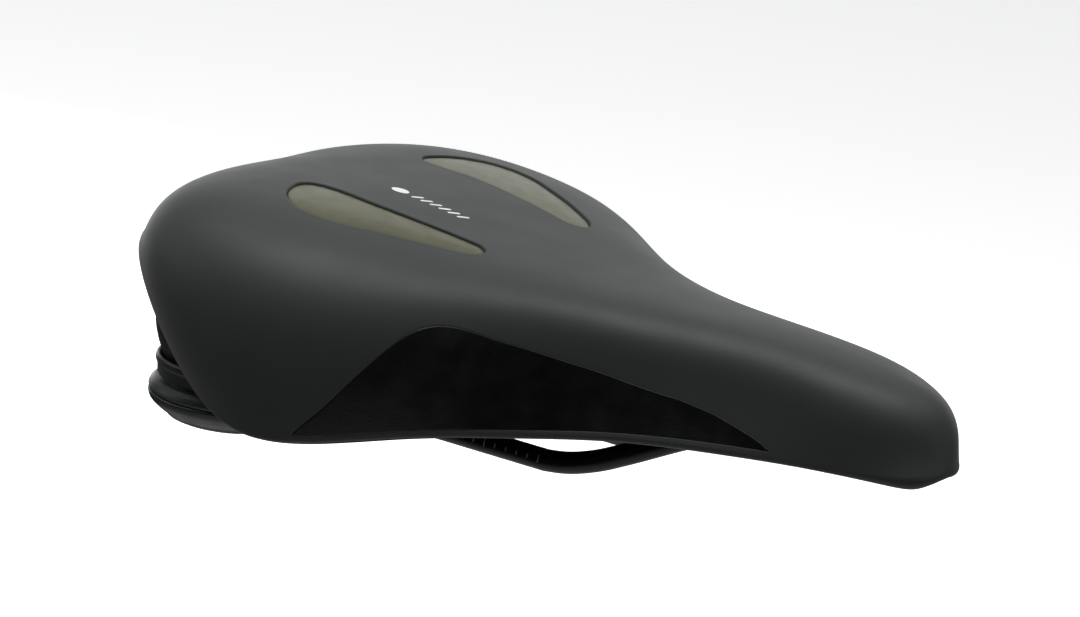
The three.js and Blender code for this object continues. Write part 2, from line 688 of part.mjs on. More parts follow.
// Bosses that stand in the elastomer cups. Each is hollow from below and again from above,
// where a bored pillar stands on the floor between the hollows.
function addBosses(body, space) {
  const radiusAt = interpolator(BOSS.map(([r, z]) => [z, r]));
  const innerR = (z) => radiusAt(z) - BOSS_WALL;
  const outside = turned([[0, BOSS_BOTTOM], ...BOSS, [0, 56]], ELASTOMER_AT, 20).intersect(space);
  const lowerHollow = turned([
    [0, 0], [innerR(BOSS_BOTTOM), 0], [innerR(BOSS_BOTTOM), BOSS_BOTTOM], [innerR(12), 12],
    [innerR(BOSS_CEILING), BOSS_CEILING], [0, BOSS_CEILING],
  ], ELASTOMER_AT, 20);
  const upperHollow = turned([
    [0, BOSS_FLOOR], [innerR(BOSS_FLOOR), BOSS_FLOOR], [innerR(30), 30], [innerR(56), 70], [0, 70],
  ], ELASTOMER_AT, 20);
  const pillar = post(7.5, BOSS_FLOOR - 1, 29, ELASTOMER_AT, 16);
  const bore = post(BOSS_BORE_R, 0, 40, ELASTOMER_AT, 16);
  let joined = body.add(outside).add(mirrored(outside));
  for (const place of [(part) => part, mirrored]) {
    joined = joined.subtract(place(lowerHollow)).subtract(place(upperHollow));
    joined = joined.add(place(pillar)).subtract(place(bore));
  }
  return joined;
}
function makeBaseShell() {
  const space = spaceUnderShell();
  const bossed = addBosses(addRibs(shellSkin()), space);
  // Nose cradle: the upper half of the bearing for the rails' front crossbar.
  const cradle = cradleBlock(PIVOT_Z + FIT, 50).intersect(space);
  return boreCradle(bossed.add(cradle), 20, 34);
}

// ---------------------------------------------------------------- rail frame
// The wire's rear ends lie in sockets that run from the elastomer axes towards the clamping
// section. Socket places are distances from the axis.
const SOCKET_Z = -6.6;
const SOCKET_START = 12.6;
const SOCKET_END = 37;
const CROSSBAR_HALF_W = 10;
const CORNER_R = 6; // bend of the wire's axis into the crossbar
const socketDirection = unit([RAIL_REAR_X - ELASTOMER_AT[0], RAIL_Y - ELASTOMER_AT[1], 0]);
const socketPoint = (distance) => [
  ELASTOMER_AT[0] + socketDirection[0] * distance,
  ELASTOMER_AT[1] + socketDirection[1] * distance,
  SOCKET_Z,
];
// Rise from the clamping section to the crossbar.
const RAIL_RISE = [
  [RAIL_FRONT_X, RAIL_Y, RAIL_Z], [27.5, RAIL_Y, -0.1], [33, RAIL_Y, 1.35], [40, 21.8, 3.9],
  [46.4, 21.3, 6.9], [53, 20.5, 10.2], [59, 19.6, 13.3], [67, 17.9, 17.3], [77, 15.7, 21.9],
  [86, 13.3, 25.6], [95, 11.3, 28.0], [103, 10.2, PIVOT_Z - 0.1],
  [PIVOT_X - CORNER_R, CROSSBAR_HALF_W, PIVOT_Z],
];

// One bent wire: the left half's path, then its mirror image run backwards.
function makeRailFrame() {
  const vector = (p) => new THREE.Vector3(...p);
  const rearBend = new THREE.CubicBezierCurve3(
    vector(socketPoint(SOCKET_END)),
    vector(socketPoint(SOCKET_END + 11)),
    vector([RAIL_REAR_X - 12, RAIL_Y, RAIL_Z]),
    vector([RAIL_REAR_X, RAIL_Y, RAIL_Z]),
  );
  const rise = new THREE.CatmullRomCurve3(RAIL_RISE.map(vector), false, "centripetal");
  const path = [
    socketPoint(SOCKET_START),
    ...rearBend.getPoints(7).map((p) => p.toArray()),
    ...rise.getPoints(15).map((p) => p.toArray()),
  ];
  for (let k = 1; k <= 4; k++) {
    const angle = (k / 4) * (Math.PI / 2);
    path.push([
      PIVOT_X - CORNER_R + CORNER_R * Math.sin(angle),
      CROSSBAR_HALF_W - CORNER_R + CORNER_R * Math.cos(angle),
      PIVOT_Z,
    ]);
  }
  const rightHalf = path.map(([x, y, z]) => [x, -y, z]).reverse();
  return wire([...path, ...rightHalf], RAIL_R);
}

// ---------------------------------------------------------------- elastomers and lower seats
const SEAT_TOP = -2.05;
const SEAT_BOTTOM = -10.3;
const SEAT_BORE_R = 4.6;
const WELL_R = 9.5; // well for the washer and bolt head
const WELL_TOP = -5;
const SET_SCREW_R = 1.6;
const SET_SCREW_AT = socketPoint(30);

function makeElastomer() {
  const bottom = SEAT_TOP + FIT;
  const top = BOSS_CEILING - FIT;
  return turned([
    [5.2, bottom], [25.9, bottom], [25.95, -0.3], [25.3, 1.1], [23.1, 2.2], [23.8, 3.2],
    [24.2, 7.6], [23.3, 8.8], [22.4, 8.2], [21.8, -0.2], [15.8, -0.2], [14.6, top], [5.2, top],
  ], ELASTOMER_AT, 20);
}
function makeLowerSeat() {
  const dish = turned([
    [SEAT_BORE_R, SEAT_TOP], [25.8, SEAT_TOP], [26.15, -2.6], [26.0, -3.8], [25.5, -4.9],
    [24.4, -6.3], [22.8, -7.6], [20.4, -8.7], [19.6, -9.5], [17.8, SEAT_BOTTOM],
    [WELL_R, SEAT_BOTTOM], [WELL_R, WELL_TOP], [SEAT_BORE_R, WELL_TOP],
  ], ELASTOMER_AT, 20);
  const tube = (radius, start, end) =>
    wire([start, (start + end) / 2, end].map(socketPoint), radius);
  const well = turned([
    [0, -14], [WELL_R, -14], [WELL_R, WELL_TOP], [SEAT_BORE_R, WELL_TOP], [SEAT_BORE_R, 0], [0, 0],
  ], ELASTOMER_AT, 20);
  return dish
    .add(tube(5, SOCKET_START - 1, SOCKET_END - 2))
    .subtract(post(27, SEAT_TOP, 6, ELASTOMER_AT, 20))
    .subtract(tube(RAIL_R + FIT, SOCKET_START - FIT, SOCKET_END + 5))
    .subtract(well)
    .subtract(post(SET_SCREW_R + FIT, -20, SOCKET_Z - 3, SET_SCREW_AT, 12));
}

// ---------------------------------------------------------------- suspension hardware
const BOLT_HEAD_R = 5.2;
const BOLT_HEAD_TOP = -7;

// Set screw that holds the wire in its socket.
function makeRailEndScrew() {
  const top = SOCKET_Z - RAIL_R - FIT;
  return turned([
    [0, SET_SCREW_BOTTOM], [1.1, SET_SCREW_BOTTOM], [SET_SCREW_R, SET_SCREW_BOTTOM + 0.5],
    [SET_SCREW_R, top - 0.4], [1.1, top], [0, top],
  ], SET_SCREW_AT, 12).subtract(hexPrism(0.8, -14, -12.2, SET_SCREW_AT));
}
function makeBolt() {
  return turned([
    [0, -10.1], [4.2, -10.1], [BOLT_HEAD_R, -9.2], [BOLT_HEAD_R, BOLT_HEAD_TOP],
    [BOLT_R, BOLT_HEAD_TOP], [BOLT_R, 26.6], [2.3, 27.4], [0, 27.4],
  ], ELASTOMER_AT, 16).subtract(hexPrism(2.3, -12, -8, ELASTOMER_AT));
}
function sleeve(outerR, z0, z1, segments) {
  const innerR = BOLT_R + FIT;
  const profile = [[innerR, z0], [outerR, z0], [outerR, z1], [innerR, z1]];
  return turned(profile, ELASTOMER_AT, segments);
}
const makeWasher = () => sleeve(8.4, BOLT_HEAD_TOP + FIT, WELL_TOP - FIT, 20);
const makeInsert = () => sleeve(BOSS_BORE_R - FIT, BOSS_CEILING + FIT, 28.2, 16);

// ---------------------------------------------------------------- materials
const standard = (settings) => new THREE.MeshStandardMaterial(settings);
const COVER = standard({ color: 0x35383a, roughness: 0.72 });
const PANEL = standard({ color: 0x0d0e0f, roughness: 0.5 });
const FOAM = standard({ color: 0xc9b98a, roughness: 0.95 });
const GEL = standard({ color: 0x55544a, roughness: 0.3, transparent: true, opacity: 0.85 });
const SHELL = standard({ color: 0x17191a, roughness: 0.6 });
const RUBBER = standard({ color: 0x1c1e1f, roughness: 0.55 });
const NYLON = standard({ color: 0x141516, roughness: 0.45 });
const RAIL = standard({ color: 0x0b0b0c, roughness: 0.3, metalness: 0.6 });
const STEEL = standard({ color: 0x8d9094, roughness: 0.35, metalness: 1 });
const BRASS = standard({ color: 0xb08d4a, roughness: 0.4, metalness: 1 });

// ---------------------------------------------------------------- assembly
const saddle = new THREE.Group();
const pieces = new THREE.Group();
pieces.position.set(PIECES_X, 0, PIECES_Z);
saddle.add(pieces);

function add(name, body, material) {
  const mesh = new THREE.Mesh(geometryOf(body), material);
  mesh.name = name;
  pieces.add(mesh);
}
function addPair(name, left, material) {
  add(`${name}_left`, left, material);
  add(`${name}_right`, mirrored(left), material);
}

add("cover", makeCover(), COVER);
addPair("side_panel", makeSidePanel(), PANEL);
addPair("gel_insert", makeGelInsert(), GEL);
add("foam_pad", makeFoamPad(), FOAM);
add("base_shell", makeBaseShell(), SHELL);
add("nose_retainer", makeNoseRetainer(), NYLON);
for (const [name, x] of NOSE_SCREWS) add(name, makeNoseScrew(x), STEEL);
add("rail_frame", makeRailFrame(), RAIL);
addPair("elastomer", makeElastomer(), RUBBER);
addPair("lower_seat", makeLowerSeat(), NYLON);
addPair("rail_end_screw", makeRailEndScrew(), STEEL);
addPair("elastomer_bolt", makeBolt(), STEEL);
addPair("bolt_washer", makeWasher(), STEEL);
addPair("threaded_insert", makeInsert(), BRASS);

export default saddle;
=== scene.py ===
import math
from collections import namedtuple

import bmesh
import bpy
import numpy as np
from mathutils import Matrix, Vector
from mathutils.geometry import delaunay_2d_cdt


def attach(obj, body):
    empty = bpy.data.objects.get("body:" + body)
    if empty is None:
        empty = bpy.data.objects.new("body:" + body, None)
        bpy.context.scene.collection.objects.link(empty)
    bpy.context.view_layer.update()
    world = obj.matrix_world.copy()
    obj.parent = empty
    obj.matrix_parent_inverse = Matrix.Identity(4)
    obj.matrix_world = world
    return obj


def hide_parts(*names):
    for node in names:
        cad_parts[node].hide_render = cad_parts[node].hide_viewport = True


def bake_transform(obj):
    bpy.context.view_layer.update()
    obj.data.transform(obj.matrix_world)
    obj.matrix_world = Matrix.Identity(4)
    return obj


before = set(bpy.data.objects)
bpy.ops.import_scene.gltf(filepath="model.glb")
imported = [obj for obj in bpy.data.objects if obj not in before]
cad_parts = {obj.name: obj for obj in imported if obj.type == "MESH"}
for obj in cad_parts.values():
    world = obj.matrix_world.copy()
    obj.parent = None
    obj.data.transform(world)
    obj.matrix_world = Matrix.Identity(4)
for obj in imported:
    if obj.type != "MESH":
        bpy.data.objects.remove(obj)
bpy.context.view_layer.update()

# ------------------------------------------------------------------ driving dimensions (mm)
MM = 0.001
DATUM_X, DATUM_Z = -12.5, 13.4  # the datum's place in the frame
NET_DATUM_X = 123.0  # the datum's x in the tables of the cover
COVER_T, FIT, LIP_T = 1.8, 0.3, 1.7
SHELL_T, RIB_H = 2.4, 6.0
GEL_DEPTH = 9.0
RAIL_R, RAIL_Z = 3.5, -1.0
GAUGE, STRAIGHT = 22.0, 24.0  # rail axis from the middle plane, rear end of the straight section
PIVOT_X, PIVOT_Z = 117.0, 29.0  # crossing of the rail wire under the nose
ELASTOMER_X, ELASTOMER_Y = -84.3, 44.0
ELASTOMER_BOTTOM, ELASTOMER_TOP = -1.75, 15.5
SIDES = (("left", 1), ("right", -1))

# Sections of the cover, from rear to nose. Columns: x and y of the side, x where the section
# leaves the middle plane, then x, y, z of the lower edge.
STATIONS = np.array([
    [5.56, 0, 62, 0.5, 0, 46.12], [4.86, 31.33, 64, -2.5, 40.25, 44.54],
    [16.45, 72.36, 70, 10.5, 69.36, 43.1], [45.41, 93.54, 82, 57.16, 88.46, 4.02],
    [90.59, 92.11, 100, 85.75, 92.03, -0.88], [121.92, 68.76, 122, 119.63, 66.79, 8.0],
    [147.23, 39.06, 148, 145.82, 45.03, 10.13], [178.96, 27.34, 176, 173.33, 33.75, 15.53],
    [211.55, 20.89, 208, 210.09, 25.39, 18.2], [243.46, 22.97, 234, 239.17, 22.41, 20.0],
    [264.29, 12.34, 248, 268.0, 17.0, 20.1], [272.66, 0, 252, 272.3, 0, 22.4],
])
# Shape of the same sections. Columns: reach and drop of the shoulder, reach and drop of the side;
# reach is a share of the way out to the side.
SECTIONS = np.array([
    [0.76, 2.66, 0.99, 14.1], [0.77, 2.58, 0.99, 10.63], [0.76, 2.09, 0.99, 10.79],
    [0.76, 1.69, 0.99, 12.77], [0.76, 1.47, 0.99, 12.2], [0.76, 1.53, 0.99, 10.1],
    [0.82, 1.1, 1.02, 7.8], [0.82, 1.95, 1.02, 9.36], [0.82, 2.11, 1.02, 9.81],
    [0.82, 1.93, 1.02, 9.72], [0.82, 1.99, 1.02, 10.24], [0.82, 2.08, 1.02, 10.3],
])
CROWN_REACH, SKIRT_REACH, SKIRT_SHARE = 0.42, 1.03, 0.52
# Middle line of the top, and the padding between it and the shell.
SPINE_X = np.array([0, 45, 90, 135, 180, 225, 268.0])
SPINE_Z = np.array([67.04, 68.02, 65.18, 57.65, 53.83, 52.86, 44.33])
PAD_Z = np.array([24, 24, 22, 17, 13.5, 12.5, 12])
# The shell's edge at each station, measured inwards and upwards from the cover's.
SHELL_INSET = [7.2, 7.2, 5.2, 3.9, 3.9, 3.9, 3.9, 3.9, 3.9, 4, 5, 4.8]
SHELL_UP = [2.9, 2.9, 4.6, 3.1, 2.9, 2.9, 2.9, 2.9, 2.9, 2.9, 2.9, 2.9]
LAST = len(STATIONS) - 1
# Outline of the left gel window seen from above: x, y.
WINDOW = np.array([
    [51.5, 31.0], [49.8, 35], [50.8, 40], [53, 45.5], [57.5, 51], [64, 55.2], [71.5, 56.3],
    [80, 54.9], [90, 50.2], [100, 45.2], [110, 39.2], [115.5, 35], [117.5, 31.5], [117, 28],
    [113.5, 25.6], [106, 26.3], [90, 28.4], [74, 29.5], [60, 29.0], [54.5, 29.6],
])
# Upper edge of the side panel in net coordinates: u, v.
PANEL_EDGE = np.array([
    [4.22, 0.97], [4.315, 0.953], [4.4, 0.933], [4.5, 0.9025], [4.63, 0.858], [4.75, 0.811],
    [4.874, 0.758], [4.94, 0.733], [5.02, 0.71], [5.13, 0.692], [5.28, 0.69], [5.49, 0.71],
    [5.62, 0.728], [5.94, 0.755], [6.26, 0.78], [6.59, 0.80], [6.93, 0.825], [7.175, 0.841],
    [7.35, 0.848], [7.5, 0.86], [7.72, 0.8774], [7.92, 0.901], [8.126, 0.9245], [8.242, 0.94],
    [8.3, 0.95],
])


# ------------------------------------------------------------------ the cover's and shell's nets
# Net coordinates: u counts the stations from rear to nose, v runs from 0 on the middle plane
# to 1 on the lower edge.
def natural_spline(xs, ys):
    """Natural cubic spline; the function returned gives value and slope."""
    count, gap = len(xs), np.diff(xs)
    matrix, right_side = np.eye(count), np.zeros(count)
    for i in range(1, count - 1):
        matrix[i, i - 1:i + 2] = gap[i - 1], 2 * (gap[i - 1] + gap[i]), gap[i]
        right_side[i] = 6 * ((ys[i + 1] - ys[i]) / gap[i] - (ys[i] - ys[i - 1]) / gap[i - 1])
    bend = np.linalg.solve(matrix, right_side)

    def evaluate(x):
        i = np.clip(np.searchsorted(xs, x) - 1, 0, count - 2)
        t, width = x - xs[i], gap[i]
        first = (ys[i + 1] - ys[i]) / width - width * (2 * bend[i] + bend[i + 1]) / 6
        second, third = bend[i] / 2, (bend[i + 1] - bend[i]) / (6 * width)
        value = ys[i] + t * (first + t * (second + t * third))
        return value, first + t * (2 * second + 3 * third * t)

    return evaluate


def basis_v(v):
    """Weights of the six control points across, a clamped cubic B-spline."""
    t = np.clip(v, 0, 1 - 1e-9)
    knots = np.array([0, 0, 0, 0, 1 / 3, 2 / 3, 1, 1, 1, 1])
    weights = ((t[:, None] >= knots[:-1]) & (t[:, None] < knots[1:])).astype(float)
    for degree in range(1, 4):
        columns = []
        for i in range(9 - degree):
            column = np.zeros(len(t))
            start, end = knots[i], knots[i + degree]
            if end > start:
                column = column + (t - start) / (end - start) * weights[:, i]
            start, end = knots[i + 1], knots[i + degree + 1]
            if end > start:
                column = column + (end - t) / (end - start) * weights[:, i + 1]
            columns.append(column)
        weights = np.stack(columns, 1)
    return weights


def basis_u(u):
    """Weights of the stations along, for x and z (even) and for y (odd at rear and nose)."""
    i = np.clip(np.floor(u), 0, LAST - 1).astype(int)
    f = u - i
    cubic = [
        (1 - f) ** 3 / 6,
        (3 * f**3 - 6 * f * f + 4) / 6,
        (-3 * f**3 + 3 * f * f + 3 * f + 1) / 6,
        f**3 / 6,
    ]
    even, odd = np.zeros((2, len(u), LAST + 1))
    rows = np.arange(len(u))
    for k in range(4):
        station, sign = i - 1 + k, np.ones(len(u))
        sign[(station < 0) | (station > LAST)] = -1
        station = np.abs(station)
        station = np.where(station > LAST, 2 * LAST - station, station)
        even[rows, station] += cubic[k]
        odd[rows, station] += sign * cubic[k]
    return even, odd


spine = natural_spline(SPINE_X, SPINE_Z)


def net_row(station, section, side_inset=0, pads=(0, 0, 0), edge_inset=0, edge_up=0):
    """Six control points of a section; pads lower the crown, the shoulder and the side."""
    side_x, side_y, foot_x, edge_x, edge_y, edge_z = station
    shoulder_reach, shoulder_drop, side_reach, side_drop = section
    height, slope = map(float, spine(foot_x))
    dx = side_x - foot_x
    length = math.hypot(dx, side_y)
    shrink = (length - side_inset) / length

    def control(reach, drop):
        z = height + slope * dx * reach * shrink - drop
        return [foot_x + dx * reach * shrink, side_y * reach * shrink, z]

    in_x, in_y = foot_x - edge_x, -edge_y
    span = math.hypot(in_x, in_y)
    edge = [edge_x + in_x / span * edge_inset, edge_y + in_y / span * edge_inset, edge_z + edge_up]
    side = control(side_reach, side_drop + pads[2])
    skirt = control(SKIRT_REACH, 0)
    skirt[2] = (1 - SKIRT_SHARE) * side[2] + SKIRT_SHARE * edge[2]
    shoulder = control(shoulder_reach, shoulder_drop + pads[1])
    return [control(0, pads[0]), control(CROWN_REACH, pads[0]), shoulder, side, skirt, edge]


def shell_net():
    rows = []
    for i, (station, section) in enumerate(zip(STATIONS, SECTIONS)):
        nose = min(max((i - 5) / 2, 0), 1)  # 0 on the wide rear part, 1 on the nose
        pad = float(np.interp(station[2], SPINE_X, PAD_Z))
        pads = (pad, pad * (0.74 + 0.06 * nose), 6.4 - 1.2 * nose)
        rows.append(net_row(station, section, 5.4 - nose, pads, SHELL_INSET[i], SHELL_UP[i]))
    return np.array(rows)


COVER_NET = np.array([net_row(*row) for row in zip(STATIONS, SECTIONS)])
SHELL_NET = shell_net()


def surf(net, u, v):
    even, odd = basis_u(u)
    across = basis_v(v)
    return np.stack([
        ((even @ net[:, :, 0]) * across).sum(1) - NET_DATUM_X,
        ((odd @ net[:, :, 1]) * across).sum(1),
        ((even @ net[:, :, 2]) * across).sum(1),
    ], 1)


def on_middle(u, v):
    return (v < 1e-6) | (u < 1e-6) | (u > LAST - 1e-6)


def normals(net, u, v):
    e = 1e-3
    w = np.maximum(v, 0.02)
    along = surf(net, np.minimum(u + e, LAST), w) - surf(net, np.maximum(u - e, 0), w)
    across = surf(net, u, np.minimum(w + e, 1)) - surf(net, u, w - e)
    normal = np.cross(along, across)
    normal[on_middle(u, v), 1] = 0
    return normal / np.linalg.norm(normal, axis=1)[:, None]


def offset(net, uv, height):
    """Points at the given height above a net, a number or one per point."""
    u, v = uv[:, 0], uv[:, 1]
    points = surf(net, u, v) + normals(net, u, v) * np.broadcast_to(height, (len(u),))[:, None]
    points[on_middle(u, v), 1] = 0
    return points


# ------------------------------------------------------------------ the cover laid out flat
# Each section of the net is unrolled along its own direction seen from above.
GRID_U, GRID_V = np.linspace(0, LAST, 551), np.linspace(0, 1, 201)
_mesh_u, _mesh_v = np.meshgrid(GRID_U, GRID_V, indexing="ij")
GRID = surf(COVER_NET, _mesh_u.ravel(), _mesh_v.ravel()).reshape(len(GRID_U), len(GRID_V), 3)
_steps = np.linalg.norm(np.diff(GRID, axis=1), axis=2)
ARC = np.concatenate([np.zeros((len(GRID_U), 1)), np.cumsum(_steps, 1)], 1)
FOOT = GRID[:, 0, :2]
DIRECTION = GRID[:, -1, :2] - FOOT
DIRECTION /= np.linalg.norm(DIRECTION, axis=1)[:, None]


def cell(share, count):
    """Grid cell and place within it, for a share of the way along a grid of count lines."""
    place_ = np.clip(share * (count - 1), 0, count - 1 - 1e-9)
    i = place_.astype(int)
    return i, place_ - i


def arc_length(u, v):
    """Distance from the middle plane, measured over the cover."""
    i, f = cell(u / LAST, len(GRID_U))
    j, g = cell(v, len(GRID_V))
    return (ARC[i, j] * (1 - f) * (1 - g) + ARC[i + 1, j] * f * (1 - g)
            + ARC[i, j + 1] * (1 - f) * g + ARC[i + 1, j + 1] * f * g)


def flat(uv):
    u = uv[:, 0]
    foot, direction = (
        np.stack([np.interp(u, GRID_U, table[:, k]) for k in (0, 1)], 1)
        for table in (FOOT, DIRECTION)
    )
    return foot + direction * arc_length(u, uv[:, 1])[:, None]


def v_above_edge(u, distance):
    """v of the points at the given distances above the cover's lower edge."""
    i, f = cell(u / LAST, len(GRID_U))
    f = f[:, None]
    arcs = ARC[i] * (1 - f) + ARC[i + 1] * f
    wanted = arcs[:, -1] - distance
    return np.array([np.interp(want, arc, GRID_V) for want, arc in zip(wanted, arcs)])


def newton(forward, target, uv):
    """Net coordinates that forward() takes to the target, starting from uv."""
    limit = np.array([0.3, 0.06])
    for _ in range(9):
        e = 1e-4
        point = forward(uv)
        u_plus, v_plus = uv + [e, 0], uv + [0, e]
        u_minus, v_minus = uv - [e, 0], uv - [0, e]
        u_plus[:, 0] = np.minimum(u_plus[:, 0], LAST)
        v_plus[:, 1] = np.minimum(v_plus[:, 1], 1)
        u_minus[:, 0] = np.maximum(u_minus[:, 0], 0)
        v_minus[:, 1] = np.maximum(v_minus[:, 1], 0)
        du = (forward(u_plus) - forward(u_minus)) / (u_plus - u_minus)[:, :1]
        dv = (forward(v_plus) - forward(v_minus)) / (v_plus - v_minus)[:, 1:]
        det = du[:, 0] * dv[:, 1] - du[:, 1] * dv[:, 0]
        det = np.where(np.abs(det) < 1e-9, 1e-9, det)
        miss = target - point
        step = np.stack([
            (miss[:, 0] * dv[:, 1] - miss[:, 1] * dv[:, 0]) / det,
            (du[:, 0] * miss[:, 1] - du[:, 1] * miss[:, 0]) / det,
        ], 1)
        uv = np.clip(uv + np.clip(step, -limit, limit), 0, [LAST, 1])
    return uv


def nearest(table, target):
    """Row of the table nearest to each target, worked out in batches."""
    out = np.zeros(len(target), int)
    for k in range(0, len(target), 1500):
        batch = target[k:k + 1500]
        out[k:k + 1500] = ((batch[:, None] - table[None]) ** 2).sum(2).argmin(1)
    return out


_mesh_u, _mesh_v = np.meshgrid(GRID_U[::5], GRID_V[::4], indexing="ij")
COARSE = np.stack([_mesh_u.ravel(), _mesh_v.ravel()], 1)
COARSE_FLAT = flat(COARSE)
COARSE_TOP = COARSE[COARSE[:, 1] < 0.62]
COARSE_XY = surf(COVER_NET, COARSE_TOP[:, 0], COARSE_TOP[:, 1])[:, :2]


def from_flat(points):
    return newton(flat, points, COARSE[nearest(COARSE_FLAT, points)])


def from_xy(points):
    """Net coordinates of points on the top's left half, given as seen from above."""
    def seen_from_above(uv):
        return surf(COVER_NET, uv[:, 0], uv[:, 1])[:, :2]

    return newton(seen_from_above, points, COARSE_TOP[nearest(COARSE_XY, points)])


# ------------------------------------------------------------------ plane curves
def resample(loop, step):
    """Closed curve cut into even steps."""
    closed = np.vstack([loop, loop[:1]])
    lengths = np.linalg.norm(np.diff(closed, axis=0), axis=1)
    arc = np.concatenate([[0], np.cumsum(lengths)])
    count = max(int(round(arc[-1] / step)), 3)
    at = np.linspace(0, arc[-1], count + 1)[:-1]
    return np.stack([np.interp(at, arc, closed[:, k]) for k in (0, 1)], 1)


def catmull(points, per_span, closed=True):
    """Centripetal Catmull-Rom curve."""
    if closed:
        chain = [points[-1], *points, points[0], points[1]]
    else:
        chain = [2 * points[0] - points[1], *points, 2 * points[-1] - points[-2]]
    out = []
    for p0, p1, p2, p3 in zip(chain, chain[1:], chain[2:], chain[3:]):
        pairs = ((p0, p1), (p1, p2), (p2, p3))
        d0, d1, d2 = (max(np.linalg.norm(end - start) ** 0.5, 1e-6) for start, end in pairs)
        leave = ((p1 - p0) / d0 - (p2 - p0) / (d0 + d1) + (p2 - p1) / d1) * d1
        arrive = ((p2 - p1) / d1 - (p3 - p1) / (d1 + d2) + (p3 - p2) / d2) * d1
        for f in np.arange(per_span) / per_span:
            out.append((2 * f**3 - 3 * f**2 + 1) * p1 + (f**3 - 2 * f**2 + f) * leave
                       + (-2 * f**3 + 3 * f**2) * p2 + (f**3 - f**2) * arrive)
    if not closed:
        out.append(points[-1])
    return np.array(out)


def grown(loop, distance):
    """Closed curve moved outwards (inwards if negative), without points that end up too near."""
    after = np.roll(loop, -1, 0)
    tangent = after - np.roll(loop, 1, 0)
    normal = np.stack([tangent[:, 1], -tangent[:, 0]], 1)
    normal = normal / np.linalg.norm(tangent, axis=1)[:, None]
    area = 0.5 * (loop[:, 0] * after[:, 1] - after[:, 0] * loop[:, 1]).sum()
    moved = loop + normal * distance * (1 if area > 0 else -1)
    return moved[loop_distance(moved, loop) > abs(distance) * 0.93]


def loop_distance(points, loop):
    span = np.roll(loop, -1, 0) - loop
    square = np.maximum((span * span).sum(1), 1e-12)
    out = np.zeros(len(points))
    for k in range(0, len(points), 2000):
        batch = points[k:k + 2000, None]
        t = np.clip(((batch - loop) * span).sum(2) / square, 0, 1)
        gap = (loop + t[..., None] * span) - batch
        out[k:k + 2000] = np.sqrt((gap ** 2).sum(2).min(1))
    return out


def inside(points, loop):
    x, y = points[:, 0], points[:, 1]
    hit = np.zeros(len(points), bool)
    for (x0, y0), (x1, y1) in zip(loop, np.roll(loop, -1, 0)):
        if y0 != y1:
            hit ^= ((y0 > y) != (y1 > y)) & (x < (x1 - x0) * (y - y0) / (y1 - y0) + x0)
    return hit


def sheet(border, holes=(), rings=(), step=1.45):
    """Even triangles over a region of the flat layout.

    border and holes are closed loops in net coordinates, rings are loose points. Returns net
    coordinates, triangles and the point numbers of border and holes.
    """
    loops = [border, *holes]
    edges, numbers, count = [], [], 0
    for loop in loops:
        ring = np.arange(count, count + len(loop))
        numbers.append(ring)
        edges += [(int(start), int(end)) for start, end in zip(ring, np.roll(ring, -1))]
        count += len(loop)
    outlines = [flat(loop) for loop in loops]

    def in_region(points):
        keep = inside(points, outlines[0])
        for hole in outlines[1:]:
            keep &= ~inside(points, hole)
        return keep

    fixed = np.vstack([*loops, *rings])
    fixed_flat = flat(fixed)
    low, high = outlines[0].min(0), outlines[0].max(0)
    rows = []
    for k, y in enumerate(np.arange(low[1], high[1], step * math.sqrt(3) / 2)):
        xs = np.arange(low[0] + (step / 2 if k % 2 else 0), high[0], step)
        rows.append(np.stack([xs, np.full(len(xs), y)], 1))
    fill = np.vstack(rows)
    fill = fill[in_region(fill)]
    near = ((fill - fixed_flat[nearest(fixed_flat, fill)]) ** 2).sum(1)
    fill = fill[near > (step * 0.72) ** 2]
    uv = np.vstack([fixed, from_flat(fill)])
    points = np.vstack([fixed_flat, fill])
    vectors = [Vector((float(x), float(y))) for x, y in points]
    made = delaunay_2d_cdt(vectors, edges, [], 0, 1e-9)
    source = [origin[0] if origin else -1 for origin in made[3]]
    tris = np.array([[source[i] for i in face] for face in made[2]])
    tris = tris[(tris >= 0).all(1)]
    tris = tris[in_region(points[tris].mean(1))]
    first, second, third = (points[tris[:, k]] for k in range(3))
    turn = ((second[:, 0] - first[:, 0]) * (third[:, 1] - first[:, 1])
            - (third[:, 0] - first[:, 0]) * (second[:, 1] - first[:, 1]))
    tris[turn < 0] = tris[turn < 0][:, [0, 2, 1]]
    return uv, tris[np.abs(turn) > 1e-9], numbers


# ------------------------------------------------------------------ mesh building
class Build:
    """Points (mm) and faces of one piece."""

    def __init__(self, blocks=(), faces=()):
        self.blocks, self.faces = list(blocks), list(faces)
        self.count = sum(map(len, self.blocks))

    def points(self, points):
        """Adds points and returns their numbers."""
        points = np.asarray(points, float)
        self.blocks.append(points)
        self.count += len(points)
        return np.arange(self.count - len(points), self.count)

    def tris(self, numbers, tris, flip=False):
        corners = numbers[tris]
        self.faces += (corners[:, ::-1] if flip else corners).tolist()

    def strip(self, row, following, closed=False, flip=False):
        """Quads between two rows of point numbers."""
        row, following = list(row), list(following)
        if closed:
            row.append(row[0])
            following.append(following[0])
        for i in range(len(row) - 1):
            quad = [row[i], row[i + 1], following[i + 1], following[i]]
            self.faces.append(quad[::-1] if flip else quad)

    def loft(self, rows, closed=False):
        for row, following in zip(rows, rows[1:]):
            self.strip(row, following, closed)

    def mirrored(self):
        """The same piece on the other side of the middle plane."""
        return Build([np.vstack(self.blocks) * [1, -1, 1]], [face[::-1] for face in self.faces])

    def add_mirrored(self):
        half = self.mirrored()
        self.faces += [[self.count + i for i in face] for face in half.faces]
        self.points(half.blocks[0])


def shade(mesh, sharp_angle=None):
    mesh.polygons.foreach_set("use_smooth", [True] * len(mesh.polygons))
    if sharp_angle is not None:
        mesh.set_sharp_from_angle(angle=math.radians(sharp_angle))


